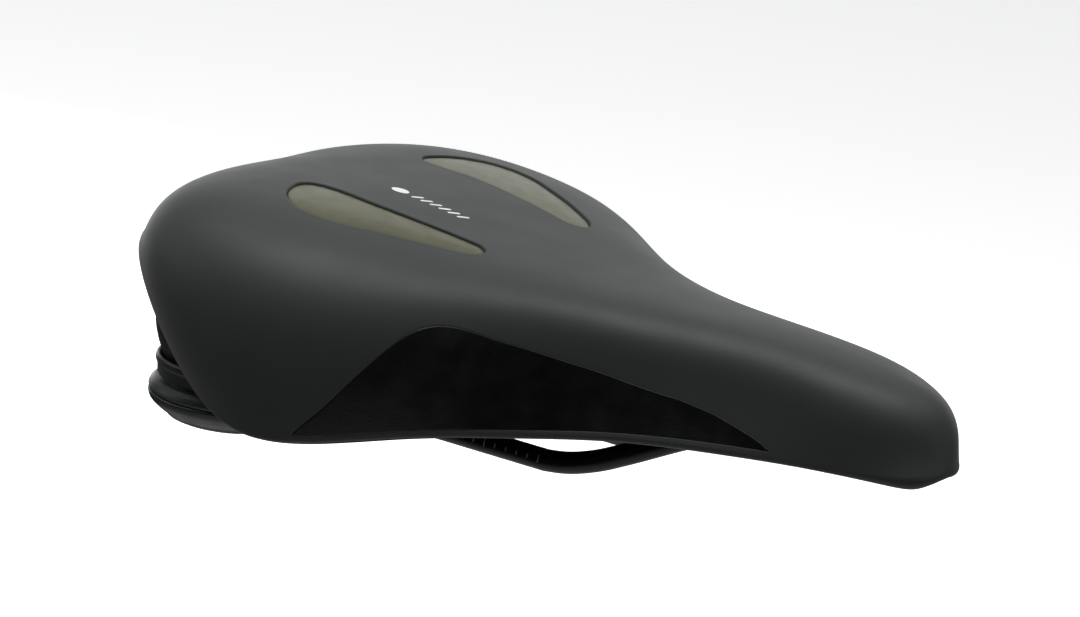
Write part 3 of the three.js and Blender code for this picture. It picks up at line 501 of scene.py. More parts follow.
def make(name, build, material, sharp_angle=None):
    """Object from a Build, welded and with its faces turned outwards."""
    mesh = bpy.data.meshes.new(name)
    points = (np.vstack(build.blocks) + [DATUM_X, 0, DATUM_Z]) * MM
    mesh.from_pydata(points.tolist(), [], [list(map(int, face)) for face in build.faces])
    work = bmesh.new()
    work.from_mesh(mesh)
    bmesh.ops.remove_doubles(work, verts=work.verts, dist=2e-6)
    bmesh.ops.dissolve_degenerate(work, edges=work.edges, dist=1e-7)
    loose = [vert for vert in work.verts if not vert.link_faces]
    bmesh.ops.delete(work, geom=loose, context="VERTS")
    bmesh.ops.recalc_face_normals(work, faces=work.faces)
    if work.calc_volume(signed=True) < 0:
        bmesh.ops.reverse_faces(work, faces=work.faces)
    work.to_mesh(mesh)
    work.free()
    shade(mesh, sharp_angle)
    mesh.materials.append(material)
    piece = bpy.data.objects.new(name, mesh)
    bpy.context.scene.collection.objects.link(piece)
    return piece


def boolean(piece, operation, tool):
    """Joins, cuts or intersects a piece with a tool, a Build or an object, and removes the tool."""
    if isinstance(tool, Build):
        tool = make("tool", tool, piece.data.materials[0])
    modifier = piece.modifiers.new("cut", "BOOLEAN")
    modifier.operation, modifier.object, modifier.solver = operation, tool, "EXACT"
    depsgraph = bpy.context.evaluated_depsgraph_get()
    mesh = bpy.data.meshes.new_from_object(piece.evaluated_get(depsgraph))
    piece.modifiers.clear()
    old = piece.data
    piece.data = mesh
    bpy.data.meshes.remove(old)
    bpy.data.objects.remove(tool)


def finish_cuts(piece, sharp_angle):
    """Cleans a piece after its booleans and shades it."""
    work = bmesh.new()
    work.from_mesh(piece.data)
    bmesh.ops.remove_doubles(work, verts=work.verts, dist=1e-6)
    bmesh.ops.dissolve_degenerate(work, edges=work.edges, dist=1e-6)
    gaps = [edge for edge in work.edges if len(edge.link_faces) == 1]
    bmesh.ops.holes_fill(work, edges=gaps, sides=6)
    bmesh.ops.recalc_face_normals(work, faces=work.faces)
    work.to_mesh(piece.data)
    work.free()
    shade(piece.data, sharp_angle)


def place(piece, body, slot, *nodes):
    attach(piece, body)
    if nodes:
        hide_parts(*nodes)


def rounded(corners, segments):
    """Closed profile from rows of r, z, fillet radius, its corners turned into arcs."""
    corners = np.array(corners, float)
    points, fillets = corners[:, :2], corners[:, 2]
    out = []
    for i, corner in enumerate(points):
        back, ahead = points[i - 1] - corner, points[(i + 1) % len(points)] - corner
        back_length, ahead_length = np.linalg.norm(back), np.linalg.norm(ahead)
        back, ahead = back / back_length, ahead / ahead_length
        angle = math.acos(float(back @ ahead))
        if angle > math.pi - 0.02:
            out.append(corner)
            continue
        trim = fillets[i] / math.tan(angle / 2)
        trim = min(trim, back_length * 0.49, ahead_length * 0.49)
        radius = trim * math.tan(angle / 2)
        halfway = (back + ahead) / np.linalg.norm(back + ahead)
        centre = corner + halfway * radius / math.sin(angle / 2)
        start, end = corner + back * trim - centre, corner + ahead * trim - centre
        turn = math.atan2(start[0] * end[1] - start[1] * end[0], float(start @ end))
        for k in range(segments + 1):
            cos, sin = math.cos(turn * k / segments), math.sin(turn * k / segments)
            spoke = [start[0] * cos - start[1] * sin, start[0] * sin + start[1] * cos]
            out.append(centre + np.array(spoke))
    return np.array(out)


def lathe(profile, axis_x, axis_y, segments, hexed=()):
    """Closed profile of r, z turned about a vertical axis; hexed rows follow a hexagon."""
    build = Build()
    angles = np.arange(segments) / segments * 2 * math.pi
    rows = []
    for i, (r, z) in enumerate(profile):
        radii = np.full(segments, r)
        if i in hexed:
            flats = np.cos((angles % (math.pi / 3)) - math.pi / 6)
            radii = radii * math.cos(math.pi / 6) / flats
        x, y = axis_x + radii * np.cos(angles), axis_y + radii * np.sin(angles)
        rows.append(build.points(np.stack([x, y, np.full(segments, z)], 1)))
    for i in range(len(rows)):
        j = (i + 1) % len(rows)
        if profile[i][0] >= 1e-6 or profile[j][0] >= 1e-6:
            build.strip(rows[i], rows[j], closed=True)
    return build


def rod(radius, z0, z1, axis_x, axis_y, segments):
    return lathe([(0, z0), (radius, z0), (radius, z1), (0, z1)], axis_x, axis_y, segments)


def sweep(path, radius, segments):
    """Round wire along a path with a small chamfer at both ends."""
    build = Build()
    path = np.asarray(path, float)
    radius = np.broadcast_to(radius, (len(path),))
    tangent = np.gradient(path, axis=0)
    tangent /= np.linalg.norm(tangent, axis=1)[:, None]
    side = np.cross([0, 0, 1.0], tangent)
    side /= np.linalg.norm(side, axis=1)[:, None]
    above = np.cross(tangent, side)
    angles = (np.arange(segments) + 0.5) / segments * 2 * math.pi

    def circle(i, centre, r):
        return build.points(
            centre + np.outer(np.sin(angles), side[i]) * r + np.outer(-np.cos(angles), above[i]) * r)

    rows = [circle(i, path[i], radius[i]) for i in range(len(path))]
    build.loft(rows, closed=True)
    for i, sign in ((0, -1), (-1, 1)):
        cap = circle(i, path[i] + tangent[i] * sign * 0.5, radius[i] - 0.5)
        build.strip(rows[i], cap, closed=True)
        build.faces.append(list(cap))
    return build


def prism(outline, y0, y1, build=None):
    """Outline in x and z pulled along y."""
    build = build or Build()
    outline = np.asarray(outline, float)
    x, z = outline[:, 0], outline[:, 1]
    rows = [build.points(np.stack([x, np.full(len(x), y), z], 1)) for y in (y0, y1)]
    build.strip(rows[0], rows[1], closed=True)
    build.faces += [list(rows[0]), list(rows[1])]
    return build


# ------------------------------------------------------------------ materials, in metres
# kind is "noise" or "voronoi"; height and strength set the bump.
Grain = namedtuple("Grain", "kind scale height strength")


def feed(tree, node, inputs):
    """Links or sets each input of a node."""
    for key, value in inputs.items():
        if isinstance(value, bpy.types.NodeSocket):
            tree.links.new(value, node.inputs[key])
        else:
            node.inputs[key].default_value = value


def add_node(tree, kind, inputs=None, **settings):
    node = tree.nodes.new("ShaderNode" + kind)
    for key, value in settings.items():
        setattr(node, key, value)
    feed(tree, node, inputs or {})
    return node


def tint(color, factor):
    return tuple(channel * factor for channel in color)


class Shader:
    """A procedural material built round one Principled shader."""

    def __init__(self, name):
        self.material = bpy.data.materials.new(name)
        self.material.use_nodes = True
        self.tree = self.material.node_tree
        self.tree.nodes.clear()
        self.output = self.node("OutputMaterial")
        self.principled = self.node("BsdfPrincipled")
        feed(self.tree, self.output, {0: self.principled.outputs[0]})
        self.coords = self.node("TexCoord").outputs["Object"]

    def node(self, kind, inputs=None, **settings):
        return add_node(self.tree, kind, inputs, **settings)

    def set(self, inputs):
        feed(self.tree, self.principled, inputs)

    def noise(self, scale, detail, roughness=0.5):
        inputs = {"Scale": scale, "Detail": detail, "Roughness": roughness, "Vector": self.coords}
        return self.node("TexNoise", inputs).outputs["Fac"]

    def grain(self, grain, roughness):
        if grain.kind == "noise":
            return self.noise(grain.scale, 3.0, roughness)
        inputs = {"Scale": grain.scale, "Smoothness": 0.35, "Vector": self.coords}
        return self.node("TexVoronoi", inputs, feature="SMOOTH_F1").outputs["Distance"]

    def ramp(self, value, low, high, to_low=0.0, to_high=1.0):
        return self.node("MapRange", {
            "From Min": low, "From Max": high, "To Min": to_low, "To Max": to_high, "Value": value,
        }).outputs[0]

    def multiply(self, first, second):
        return self.node("Math", {0: first, 1: second}, operation="MULTIPLY").outputs[0]

    def mix(self, factor, first, second):
        first, second = ((*c, 1) if isinstance(c, tuple) else c for c in (first, second))
        return self.node("Mix", {0: factor, 6: first, 7: second}, data_type="RGBA").outputs[2]

    def bump(self, layers, bevel=None):
        """layers: (height output, distance in metres, strength)."""
        normal = None
        if bevel:
            normal = self.node("Bevel", {"Radius": bevel}, samples=4).outputs[0]
        for height, distance, strength in layers:
            inputs = {"Distance": distance, "Strength": strength, "Height": height}
            if normal is not None:
                inputs["Normal"] = normal
            normal = self.node("Bump", inputs).outputs[0]
        self.set({"Normal": normal})


def surface(name, base, rough, grain, clouds, cloud_detail=3, metal=0.0, spec=0.5, vary=0.12,
            rough_vary=0.08, sheen=0.0, sheen_rough=0.5, coat=0.0, second_grain=None,
            bevel=None, wear=None):
    """Clouded, grained surface. clouds: scale of the colour clouds; vary, rough_vary: spread of
    colour and roughness; wear: (pointiness where it starts, colour of the worn edges)."""
    shader = Shader(name)
    big = shader.noise(clouds, cloud_detail)
    color = shader.mix(shader.ramp(big, 0.3, 0.7), tint(base, 1 - vary), tint(base, 1 + vary))
    fine = shader.grain(grain, 0.6)
    color = shader.mix(shader.ramp(fine, 0.35, 0.65, 0.0, 0.35), color, tint(base, 1 - 1.5 * vary))
    if wear:
        pointiness = shader.node("NewGeometry").outputs["Pointiness"]
        edge = shader.ramp(pointiness, wear[0], 0.6)
        edge = shader.multiply(edge, shader.ramp(shader.noise(700, 4), 0.35, 0.7))
        color = shader.mix(shader.multiply(edge, 0.5), color, wear[1])
    roughness = shader.noise(clouds * 2.3, 4)
    shader.set({
        "Base Color": color,
        "Roughness": shader.ramp(roughness, 0.3, 0.7, rough - rough_vary, rough + rough_vary),
        "Metallic": metal,
        "Specular IOR Level": spec,
        "Sheen Weight": sheen,
        "Sheen Roughness": sheen_rough,
        "Coat Weight": coat,
        "Coat Roughness": 0.2,
    })
    layers = [(fine, grain.height, grain.strength)]
    if second_grain:
        layers.append((shader.grain(second_grain, 0.5), second_grain.height, second_grain.strength))
    shader.bump(layers, bevel)
    return shader.material


def gel_material():
    shader = Shader("gel")
    clouds = shader.ramp(shader.noise(70, 3), 0.3, 0.7)
    shader.set({
        "Base Color": shader.mix(clouds, (0.055, 0.057, 0.027), (0.063, 0.065, 0.032)),
        "Roughness": shader.ramp(shader.noise(180, 3), 0.3, 0.7, 0.36, 0.44),
        "Subsurface Weight": 0.55,
        "Subsurface Radius": (0.006, 0.005, 0.003),
        "Subsurface Scale": 1.0,
        "Specular IOR Level": 0.32,
        "Coat Weight": 0.10,
        "Coat Roughness": 0.18,
    })
    shader.bump([(shader.noise(900, 3), 3e-5, 0.3)])
    return shader.material


SKIN = surface(
    "cover_skin", base=(0.0236, 0.0280, 0.0250), rough=0.57, spec=0.30, vary=0.05, rough_vary=0.04,
    grain=Grain("noise", scale=3000, height=3e-5, strength=0.45), clouds=28, cloud_detail=2,
    second_grain=Grain("voronoi", scale=1500, height=3e-5, strength=0.35),
    sheen=0.12, sheen_rough=0.45)
GRAINED = surface(
    "grained_panel", base=(0.0012, 0.0014, 0.0014), rough=0.36, spec=0.42, vary=0.10,
    rough_vary=0.06, grain=Grain("voronoi", scale=1500, height=7e-5, strength=0.8), clouds=60,
    second_grain=Grain("noise", scale=5200, height=2e-5, strength=0.4))
GEL = gel_material()
FOAM = surface(
    "foam", base=(0.50, 0.42, 0.24), rough=0.95, spec=0.2, clouds=60,
    grain=Grain("voronoi", scale=1400, height=3e-4, strength=0.9))
PLASTIC = surface(
    "base_plastic", base=(0.010, 0.011, 0.0115), rough=0.58, spec=0.45, clouds=60, bevel=0.0004,
    grain=Grain("noise", scale=1500, height=6e-5, strength=0.9), wear=(0.52, (0.03, 0.031, 0.032)))
NYLON = surface(
    "nylon", base=(0.014, 0.017, 0.0165), rough=0.42, clouds=80, bevel=0.0003,
    grain=Grain("noise", scale=2200, height=3e-5, strength=0.5), wear=(0.52, (0.03, 0.031, 0.032)))
RUBBER = surface(
    "elastomer_rubber", base=(0.022, 0.026, 0.0255), rough=0.42, vary=0.10, clouds=70, sheen=0.08,
    grain=Grain("noise", scale=2600, height=2e-5, strength=0.4))
RAIL_STEEL = surface(
    "rail_steel", base=(0.0025, 0.0025, 0.0028), rough=0.36, spec=0.22, clouds=110, coat=0.06,
    grain=Grain("noise", scale=1800, height=1.5e-5, strength=0.4), wear=(0.53, (0.02, 0.02, 0.022)))
STEEL = surface(
    "steel", base=(0.43, 0.44, 0.46), rough=0.32, metal=1.0, vary=0.10, rough_vary=0.10,
    grain=Grain("noise", scale=2400, height=2e-5, strength=0.5), clouds=300, cloud_detail=4,
    bevel=0.00015)
BRASS = surface(
    "brass", base=(0.60, 0.45, 0.20), rough=0.34, metal=1.0, vary=0.10,
    grain=Grain("noise", scale=2400, height=2e-5, strength=0.5), clouds=300, cloud_detail=4)
WHITE_PRINT = surface(
    "white_print", base=(0.62, 0.64, 0.64), rough=0.55, spec=0.4, vary=0.05, clouds=300,
    grain=Grain("noise", scale=3000, height=2e-5, strength=0.4))
RAIL_PRINT = surface(
    "rail_print", base=(0.30, 0.30, 0.30), rough=0.5, spec=0.4, vary=0.08, clouds=300,
    grain=Grain("noise", scale=3000, height=1e-5, strength=0.3))

# ------------------------------------------------------------------ outlines on the cover
window_seen = resample(catmull(WINDOW - [NET_DATUM_X, 0], 24), 0.55)
window_flat = resample(flat(from_xy(window_seen)), 0.5)
window_uv = from_flat(window_flat)


def panel_outline():
    """Flat outline of the side panel: its upper edge, and a line just above the cover's edge."""
    u = np.linspace(3.9, 8.7, 961)
    upper = np.interp(u, PANEL_EDGE[:, 0], PANEL_EDGE[:, 1])
    (rear_u, rear_v), (front_u, front_v) = PANEL_EDGE[0], PANEL_EDGE[-1]
    upper = np.where(u < rear_u, rear_v + (rear_u - u) * 0.25, upper)
    upper = np.where(u > front_u, front_v + (u - front_u) * 0.2, upper)
    kernel = np.exp(-0.5 * (np.arange(-24, 25) / 6.0) ** 2)
    upper = np.convolve(np.pad(upper, 24, mode="edge"), kernel / kernel.sum(), "valid")

    def lower(u):
        strip = np.interp(u, [4.2, 7.0, 8.3], [2.8, 3.1, 3.5])  # cover left below the panel
        return v_above_edge(u, strip)

    found = np.nonzero(upper < lower(u))[0]
    span = slice(found[0], found[-1] + 1)
    u, upper = u[span], upper[span]
    top = np.stack([u, upper], 1)
    bottom = np.stack([u[::-1], lower(u[::-1])], 1)
    outline = resample(np.vstack([flat(top), flat(bottom)[1:-1]]), 0.6)
    for _ in range(3):
        outline = (np.roll(outline, 1, 0) + 2 * outline + np.roll(outline, -1, 0)) / 4
    return outline


panel_flat = panel_outline()
panel_uv = from_flat(panel_flat)


def edge_samples():
    """u of even steps along the cover's lower edge."""
    u = np.linspace(0, LAST, 2201)
    lengths = np.linalg.norm(np.diff(surf(COVER_NET, u, np.ones(len(u))), axis=0), axis=1)
    arc = np.concatenate([[0], np.cumsum(lengths)])
    count = int(round(arc[-1] / 0.8))
    out = np.interp(np.linspace(0, arc[-1], count + 1), arc, u)
    out[0], out[-1] = 0, LAST
    return out


EDGE_U = edge_samples()
EDGE_COUNT = len(EDGE_U)
EDGE_R = np.interp(EDGE_U, [0, 9.0, 10.2, 11], [2.1, 2.1, 3.9, 4.1])  # rolled lower edge


def above_edge(distance):
    """Net coordinates of the line at the given distances above the lower edge."""
    return np.stack([EDGE_U, v_above_edge(EDGE_U, distance)], 1)


def half_border(distance, step=1.45):
    """Loop round the left half in net coordinates: EDGE_COUNT points above the lower edge from
    rear to nose, then back along the middle plane."""
    low = above_edge(distance)
    nose_v = np.linspace(low[-1, 1], 0, max(int(ARC[-1, -1] / step), 3))[1:]
    nose = np.stack([np.full(len(nose_v), LAST), nose_v], 1)
    u = np.linspace(LAST, 0, 2201)
    x = surf(COVER_NET, u, np.zeros(len(u)))[:, 0]
    arc = np.concatenate([[0], np.cumsum(np.abs(np.diff(x)))])
    middle_u = np.interp(np.linspace(0, arc[-1], int(arc[-1] / step) + 1), arc, u)[1:]
    middle_u[-1] = 0
    middle = np.stack([middle_u, np.zeros(len(middle_u))], 1)
    rear_v = np.linspace(0, low[0, 1], max(int(ARC[0, -1] / step), 3))[1:-1]
    rear = np.stack([np.zeros(len(rear_v)), rear_v], 1)
    return np.vstack([low, nose, middle, rear])


def ring_points(loop_flat, distances):
    return [from_flat(grown(loop_flat, distance)) for distance in distances]


def on_cover(uv, height):
    return offset(COVER_NET, uv, height)


# ------------------------------------------------------------------ cover
# Columns of these edge profiles: distance from the outline, height over the cover's surface.
WINDOW_RIM = np.array([
    [0.0, -0.50], [0.08, -0.22], [0.18, -0.08], [0.36, 0.0], [0.6, 0.035], [0.95, 0.025], [1.5, 0],
])
PANEL_SEAM = np.array([[0.0, -0.10], [0.10, -0.03], [0.22, -0.008], [0.40, 0.0]])


def edge_rows(skin_distance):
    """Rows of the rolled edge and the turned-in lip, out to the inner skin's lower edge."""
    edge = surf(COVER_NET, EDGE_U, np.ones(EDGE_COUNT))
    foot = surf(COVER_NET, EDGE_U, np.zeros(EDGE_COUNT))
    inward = (foot - edge)[:, :2]
    inward /= np.linalg.norm(inward, axis=1)[:, None]
    outward = normals(COVER_NET, EDGE_U, np.full(EDGE_COUNT, 0.999))
    rows = []
    for turn in np.radians([8, 20, 32, 44, 56, 68, 79, 90]):
        uv = above_edge(EDGE_R * (1 - math.sin(turn)))
        # 57.3 degrees to the radian
        bulge = 0.10 * math.sin(math.radians(min(turn * 57.3 * 2, 180)))
        depth = EDGE_R * (1 - math.cos(turn)) - bulge
        rows.append(surf(COVER_NET, uv[:, 0], uv[:, 1]) - outward * depth[:, None])
    width = np.interp(EDGE_U, [0, 1.2, 1.9, 2.7, 3.3, 11], [4.9, 4.9, 3.5, 3.5, 6.5, 6.5])
    skin = on_cover(above_edge(skin_distance), -COVER_T)
    corner = np.maximum(2.2, ((skin[:, :2] - edge[:, :2]) * inward).sum(1) + 0.15)
    lip = [  # distance in from the edge, height above it
        (EDGE_R + 0.3, 0.02), (np.maximum(width * 0.7, EDGE_R + 0.8), 0.28), (width - 0.5, 0.5),
        (width - 0.12, 0.72), (width, 1.15), (width - 0.15, 1.75), (width - 0.5, 0.5 + LIP_T),
        (np.minimum(corner, width - 0.8), 0.5 + LIP_T + 0.05),
    ]
    for reach, rise in lip:
        x, y = edge[:, 0] + inward[:, 0] * reach, edge[:, 1] + inward[:, 1] * reach
        rows.append(np.stack([x, y, edge[:, 2] + rise], 1))
    for row in rows:
        row[[0, -1], 1] = 0
    return rows


def cover():
    """Moulded skin with two windows, two panel recesses and a rolled edge."""
    build = Build()
    rings = ring_points(window_flat, WINDOW_RIM[1:, 0]) + ring_points(panel_flat, PANEL_SEAM[1:, 0])
    uv, tris, loops = sheet(half_border(EDGE_R + 0.02), [window_uv, panel_uv], rings)
    layout = flat(uv)
    height = (np.interp(loop_distance(layout, window_flat), *WINDOW_RIM.T)
              + np.interp(loop_distance(layout, panel_flat), *PANEL_SEAM.T))
    outer = build.points(on_cover(uv, height))
    build.tris(outer, tris)
    # inner skin, on the same window and edge points
    skin_distance = np.interp(EDGE_U, [0, 1.5, 3.0, 3.6, 11], [6.0, 6.0, 5.0, 4.6, 4.6])
    uv, tris, inner_loops = sheet(half_border(skin_distance, 3.0), [window_uv], step=3.2)
    inner = build.points(on_cover(uv, -COVER_T))
    build.tris(inner, tris, flip=True)
    build.strip(outer[loops[1]], inner[inner_loops[1]], closed=True)
    # floor of the panel recess
    uv, tris, floor_loops = sheet(panel_uv, step=2.6)
    recess = build.points(on_cover(uv, -1.2))
    build.tris(recess, tris)
    build.strip(outer[loops[2]], recess[floor_loops[0]], closed=True)
    rows = [build.points(row) for row in edge_rows(skin_distance)]
    build.loft([outer[loops[0][:EDGE_COUNT]], *rows, inner[inner_loops[0][:EDGE_COUNT]]])
    build.add_mirrored()
    return build


place(make("cover_moulded_skin", cover(), SKIN, 50), "saddle_top", "cover_skin", "cover")


# ------------------------------------------------------------------ side panels and gel pads
def place_pair(name, build, material, slot, node):
    """Places a left piece and its mirror image on the right."""
    for (side, _), piece in zip(SIDES, (build, build.mirrored())):
        place(make(name + side, piece, material, 60), "saddle_top", slot, node + side)


PANEL_FACE = np.array([[0.0, -0.10], [0.08, -0.03], [0.18, -0.006], [0.4, 0.0], [0.8, 0.0]])
GEL_FACE = np.array([
    [0.0, -1.35], [0.08, -0.98], [0.2, -0.80], [0.4, -0.70], [0.7, -0.64], [1.2, -0.62],
])


def side_panel():
    build = Build()
    outline = resample(grown(panel_flat, -0.05), 0.6)
    rings = ring_points(outline, -PANEL_FACE[1:, 0])
    uv, tris, loops = sheet(from_flat(outline), rings=rings, step=1.3)
    height = np.interp(loop_distance(flat(uv), outline), *PANEL_FACE.T)
    top = build.points(on_cover(uv, height))
    bottom = build.points(on_cover(uv, -0.9))
    build.tris(top, tris)
    build.tris(bottom, tris, flip=True)
    build.strip(top[loops[0]], bottom[loops[0]], closed=True, flip=True)
    return build


def gel_pad():
    """Slightly domed pad in the window, with a wider flange under the cover."""
    build = Build()
    outline = resample(grown(window_flat, -0.32), 0.5)
    outline_uv = from_flat(outline)
    rings = ring_points(outline, -GEL_FACE[1:, 0])
    uv, tris, loops = sheet(outline_uv, rings=rings, step=1.1)
    distance = loop_distance(flat(uv), outline)
    dome = 0.22 * (1 - np.exp(-np.maximum(distance - 1.0, 0) / 4.0))
    top = build.points(on_cover(uv, np.interp(distance, *GEL_FACE.T) + dome))
    build.tris(top, tris)
    flange = resample(grown(window_flat, 2.4), 0.6)
    flange_uv = from_flat(flange)[nearest(flange, outline)]
    under_cover = -(COVER_T + FIT)
    rows = [top[loops[0]]]
    for line, height in (
        (outline_uv, under_cover), (flange_uv, under_cover), (flange_uv, -GEL_DEPTH),
    ):
        rows.append(build.points(on_cover(line, height)))
    bottom = build.points(on_cover(uv, -GEL_DEPTH))
    rows.append(bottom[loops[0]])
    for row, following in zip(rows, rows[1:]):
        build.strip(row, following, closed=True, flip=True)
    build.tris(bottom, tris, flip=True)
    return build


place_pair("grained_side_panel_", side_panel(), GRAINED, "grained_panel", "side_panel_")
place_pair("gel_pad_", gel_pad(), GEL, "gel", "gel_insert_")


# ------------------------------------------------------------------ foam pad
def foam():
    """Pad between cover and shell, with pockets for the gel."""
    build = Build()
    distance = np.interp(EDGE_U, [0, 2, 4, 11], [17.0, 17.0, 14.0, 8.0])
    border = half_border(distance, 3.0)
    pocket = from_flat(resample(grown(window_flat, 2.8), 1.2))
    uv, tris, loops = sheet(border, [pocket], step=3.0)
    top = build.points(on_cover(uv, -(COVER_T + FIT)))
    build.tris(top, tris)
    uv, tris, pocket_loops = sheet(pocket, step=3.0)
    pocket_floor = build.points(on_cover(uv, -(GEL_DEPTH + FIT)))
    build.tris(pocket_floor, tris)
    build.strip(top[loops[1]], pocket_floor[pocket_loops[0]], closed=True)
    # underside, laid on the base shell
    uv, tris, under_loops = sheet(border, step=3.4)
    v_border = np.interp(uv[:, 0], EDGE_U, v_above_edge(EDGE_U, distance))
    shell_uv = np.stack([uv[:, 0], np.clip(uv[:, 1] / v_border, 0, 1) * 0.9], 1)
    under = build.points(offset(SHELL_NET, shell_uv, FIT))
    build.tris(under, tris, flip=True)
    build.strip(top[loops[0][:EDGE_COUNT]], under[under_loops[0][:EDGE_COUNT]])
    build.add_mirrored()
    return build


place(make("foam_core", foam(), FOAM, 60), "saddle_top", "foam", "foam_pad")

# ------------------------------------------------------------------ base shell
SHELL_U = np.concatenate([np.linspace(0, 4, 41), np.linspace(4, 11, 85)[1:]])
SHELL_V = np.linspace(0, 0.93, 26)
BOSS = np.array([  # radius, z
    [19.9, 4.3], [22.2, 9], [23.5, 11.7], [24.3, 13.6], [25.3, 17], [25.9, 20], [26.3, 30],
    [26.4, 56],
])
BOSS_WALL, BOSS_CEILING, BOSS_PLATE = 2.4, 15.8, 19.0
CLAMP_X0, CLAMP_X1 = PIVOT_X - 13.5, PIVOT_X + 15  # nose cradle and retainer
CLAMP_HALF, RETAINER_H = 4, 6.6
GROOVE_R = 3.85
NOSE_SCREW_X = {"rear": PIVOT_X - 9, "front": PIVOT_X + 10}


def shell_line(u, v, height):
    return offset(SHELL_NET, np.stack([np.full(len(v), u), v], 1), height)


def half_loft(section):
    """Closed body through section(u), each a left half that starts and ends in the middle."""
    build = Build()
    rows = []
    for u in SHELL_U:
        row = section(u)
        row[[0, -1], 1] = 0
        if u in (SHELL_U[0], SHELL_U[-1]):
            row[:, 1] = 0
        rows.append(build.points(row))
    build.loft(rows)
    build.add_mirrored()
    return build


def skin_section(u):
    """Section of the shell with a slightly rounded lower edge."""
    end = np.array([1.0])
    (x0, y0, z0), (x1, y1, z1) = shell_line(u, end, 0)[0], shell_line(u, end, -SHELL_T)[0]
    z1 = max(z1, z0 - 0.2)
    edge = [[x0, y0, z0]]
    for t in (0.12, 0.3, 0.5, 0.7, 0.88):
        z = z0 + (z1 - z0) * t - 0.35 * math.sin(math.pi * t)
        edge.append([x0 + (x1 - x0) * t, y0 + (y1 - y0) * t, z])
    edge.append([x1, y1, z1])
    return np.vstack([shell_line(u, SHELL_V, 0), edge, shell_line(u, SHELL_V, -SHELL_T)[::-1]])


def rib_section(u):
    """Layer under the shell's top side that the ribs keep to."""
    top = shell_line(u, np.linspace(0, 0.558, 16), 0)
    return np.vstack([top - [0, 0, 1.0], (top - [0, 0, SHELL_T + RIB_H])[::-1]])


def below_section(u):
    """Everything under the shell's top side."""
    top = shell_line(u, SHELL_V, -0.8)
    return np.vstack([top, [[top[-1, 0], top[-1, 1], -30], [top[0, 0], 0, -30]]])


def rounded_block(z0, z1, radius):
    """Block of the nose clamp with rounded edges."""
    x_low, x_high = CLAMP_X0 + radius, CLAMP_X1 - radius
    y_low, y_high = -CLAMP_HALF + radius, CLAMP_HALF - radius
    quarter = 4

    def ring(inset, z):
        points = []
        for x, y, start in (
            (x_high, y_high, 0), (x_low, y_high, 90), (x_low, y_low, 180), (x_high, y_low, 270),
        ):
            for k in range(quarter + 1):
                a = math.radians(start + 90 * k / quarter)
                r = radius - inset
                points.append([x + r * math.cos(a), y + r * math.sin(a), z])
        return points

    turns = [math.pi / 2 * k / quarter for k in range(quarter + 1)]
    levels = [(a, z0 + radius * (1 - math.cos(a))) for a in turns]
    levels += [(a, z1 - radius * (1 - math.cos(a))) for a in reversed(turns)]
    build = Build()
    rows = [build.points(ring(radius * (1 - math.sin(a)) * 0.98, z)) for a, z in levels]
    build.loft(rows, closed=True)
    build.faces += [list(rows[0]), list(rows[-1])]
    return build


def cut_clamp(piece, segments, hole_z0, hole_z1):
    """Groove for the rail wire across the nose, and two screw holes."""
    angles = np.linspace(0, 2 * math.pi, segments + 1)[:-1]
    circle = [[PIVOT_X + GROOVE_R * math.cos(a), PIVOT_Z + GROOVE_R * math.sin(a)] for a in angles]
    boolean(piece, "DIFFERENCE", prism(circle, -12, 12))
    for x in NOSE_SCREW_X.values():
        boolean(piece, "DIFFERENCE", rod(2.3, hole_z0, hole_z1, x, 0, 32))


def add_ribs(base):
    """Two ribs lengthwise and two across."""
    build = Build()

    def slab(x0, x1, y0, y1):
        prism([[x0, 0], [x1, 0], [x1, 70], [x0, 70]], y0, y1, build)

    for side in (1, -1):
        slab(-78, 76, side * 9 - 1, side * 9 + 1)
    for x in (-48, 6):
        slab(x - 1, x + 1, -70, 70)
    ribs = make("ribs", build, PLASTIC)
    boolean(ribs, "INTERSECT", half_loft(rib_section))
    boolean(base, "UNION", ribs)


def add_boss(base, y):
    """Cup over an elastomer, with a plate and a bored hub inside."""
    def turned(profile, segments=72):
        return lathe(profile, ELASTOMER_X, y, segments)

    def bore(z):
        return float(np.interp(z, BOSS[:, 1], BOSS[:, 0])) - BOSS_WALL

    outside = [(0, 4.3), (19.1, 4.3), (19.7, 4.5), (20.1, 4.9), *BOSS[1:], (0, 56)]
    boss = make("boss", turned(outside), PLASTIC)
    boolean(boss, "INTERSECT", half_loft(below_section))
    boolean(base, "UNION", boss)
    below_plate = [
        (0, 0), (bore(4.3), 0), (bore(4.3), 4.3), (bore(12), 12),
        (bore(BOSS_CEILING), BOSS_CEILING), (0, BOSS_CEILING),
    ]
    boolean(base, "DIFFERENCE", turned(below_plate))
    above_plate = [
        (0, BOSS_PLATE), (bore(BOSS_PLATE), BOSS_PLATE), (bore(30), 30), (bore(56), 70), (0, 70),
    ]
    boolean(base, "DIFFERENCE", turned(above_plate))
    foot = BOSS_PLATE - 1
    hub = [(0, foot), (7.5, foot), (7.5, 28.6), (7.1, 29), (0, 29)]
    boolean(base, "UNION", turned(hub, 48))
    boolean(base, "DIFFERENCE", rod(4.2, 0, 40, ELASTOMER_X, y, 48))


def base_shell():
    base = make("base_moulding", half_loft(skin_section), PLASTIC)
    add_ribs(base)
    for _, sign in SIDES:
        add_boss(base, ELASTOMER_Y * sign)
    cradle = make("cradle", rounded_block(PIVOT_Z + FIT, 50, 0.6), PLASTIC)
    boolean(cradle, "INTERSECT", half_loft(below_section))
    boolean(base, "UNION", cradle)
    cut_clamp(base, 48, 20, 34)
    finish_cuts(base, 32)
    return base


place(base_shell(), "saddle_top", "base_plastic", "base_shell")

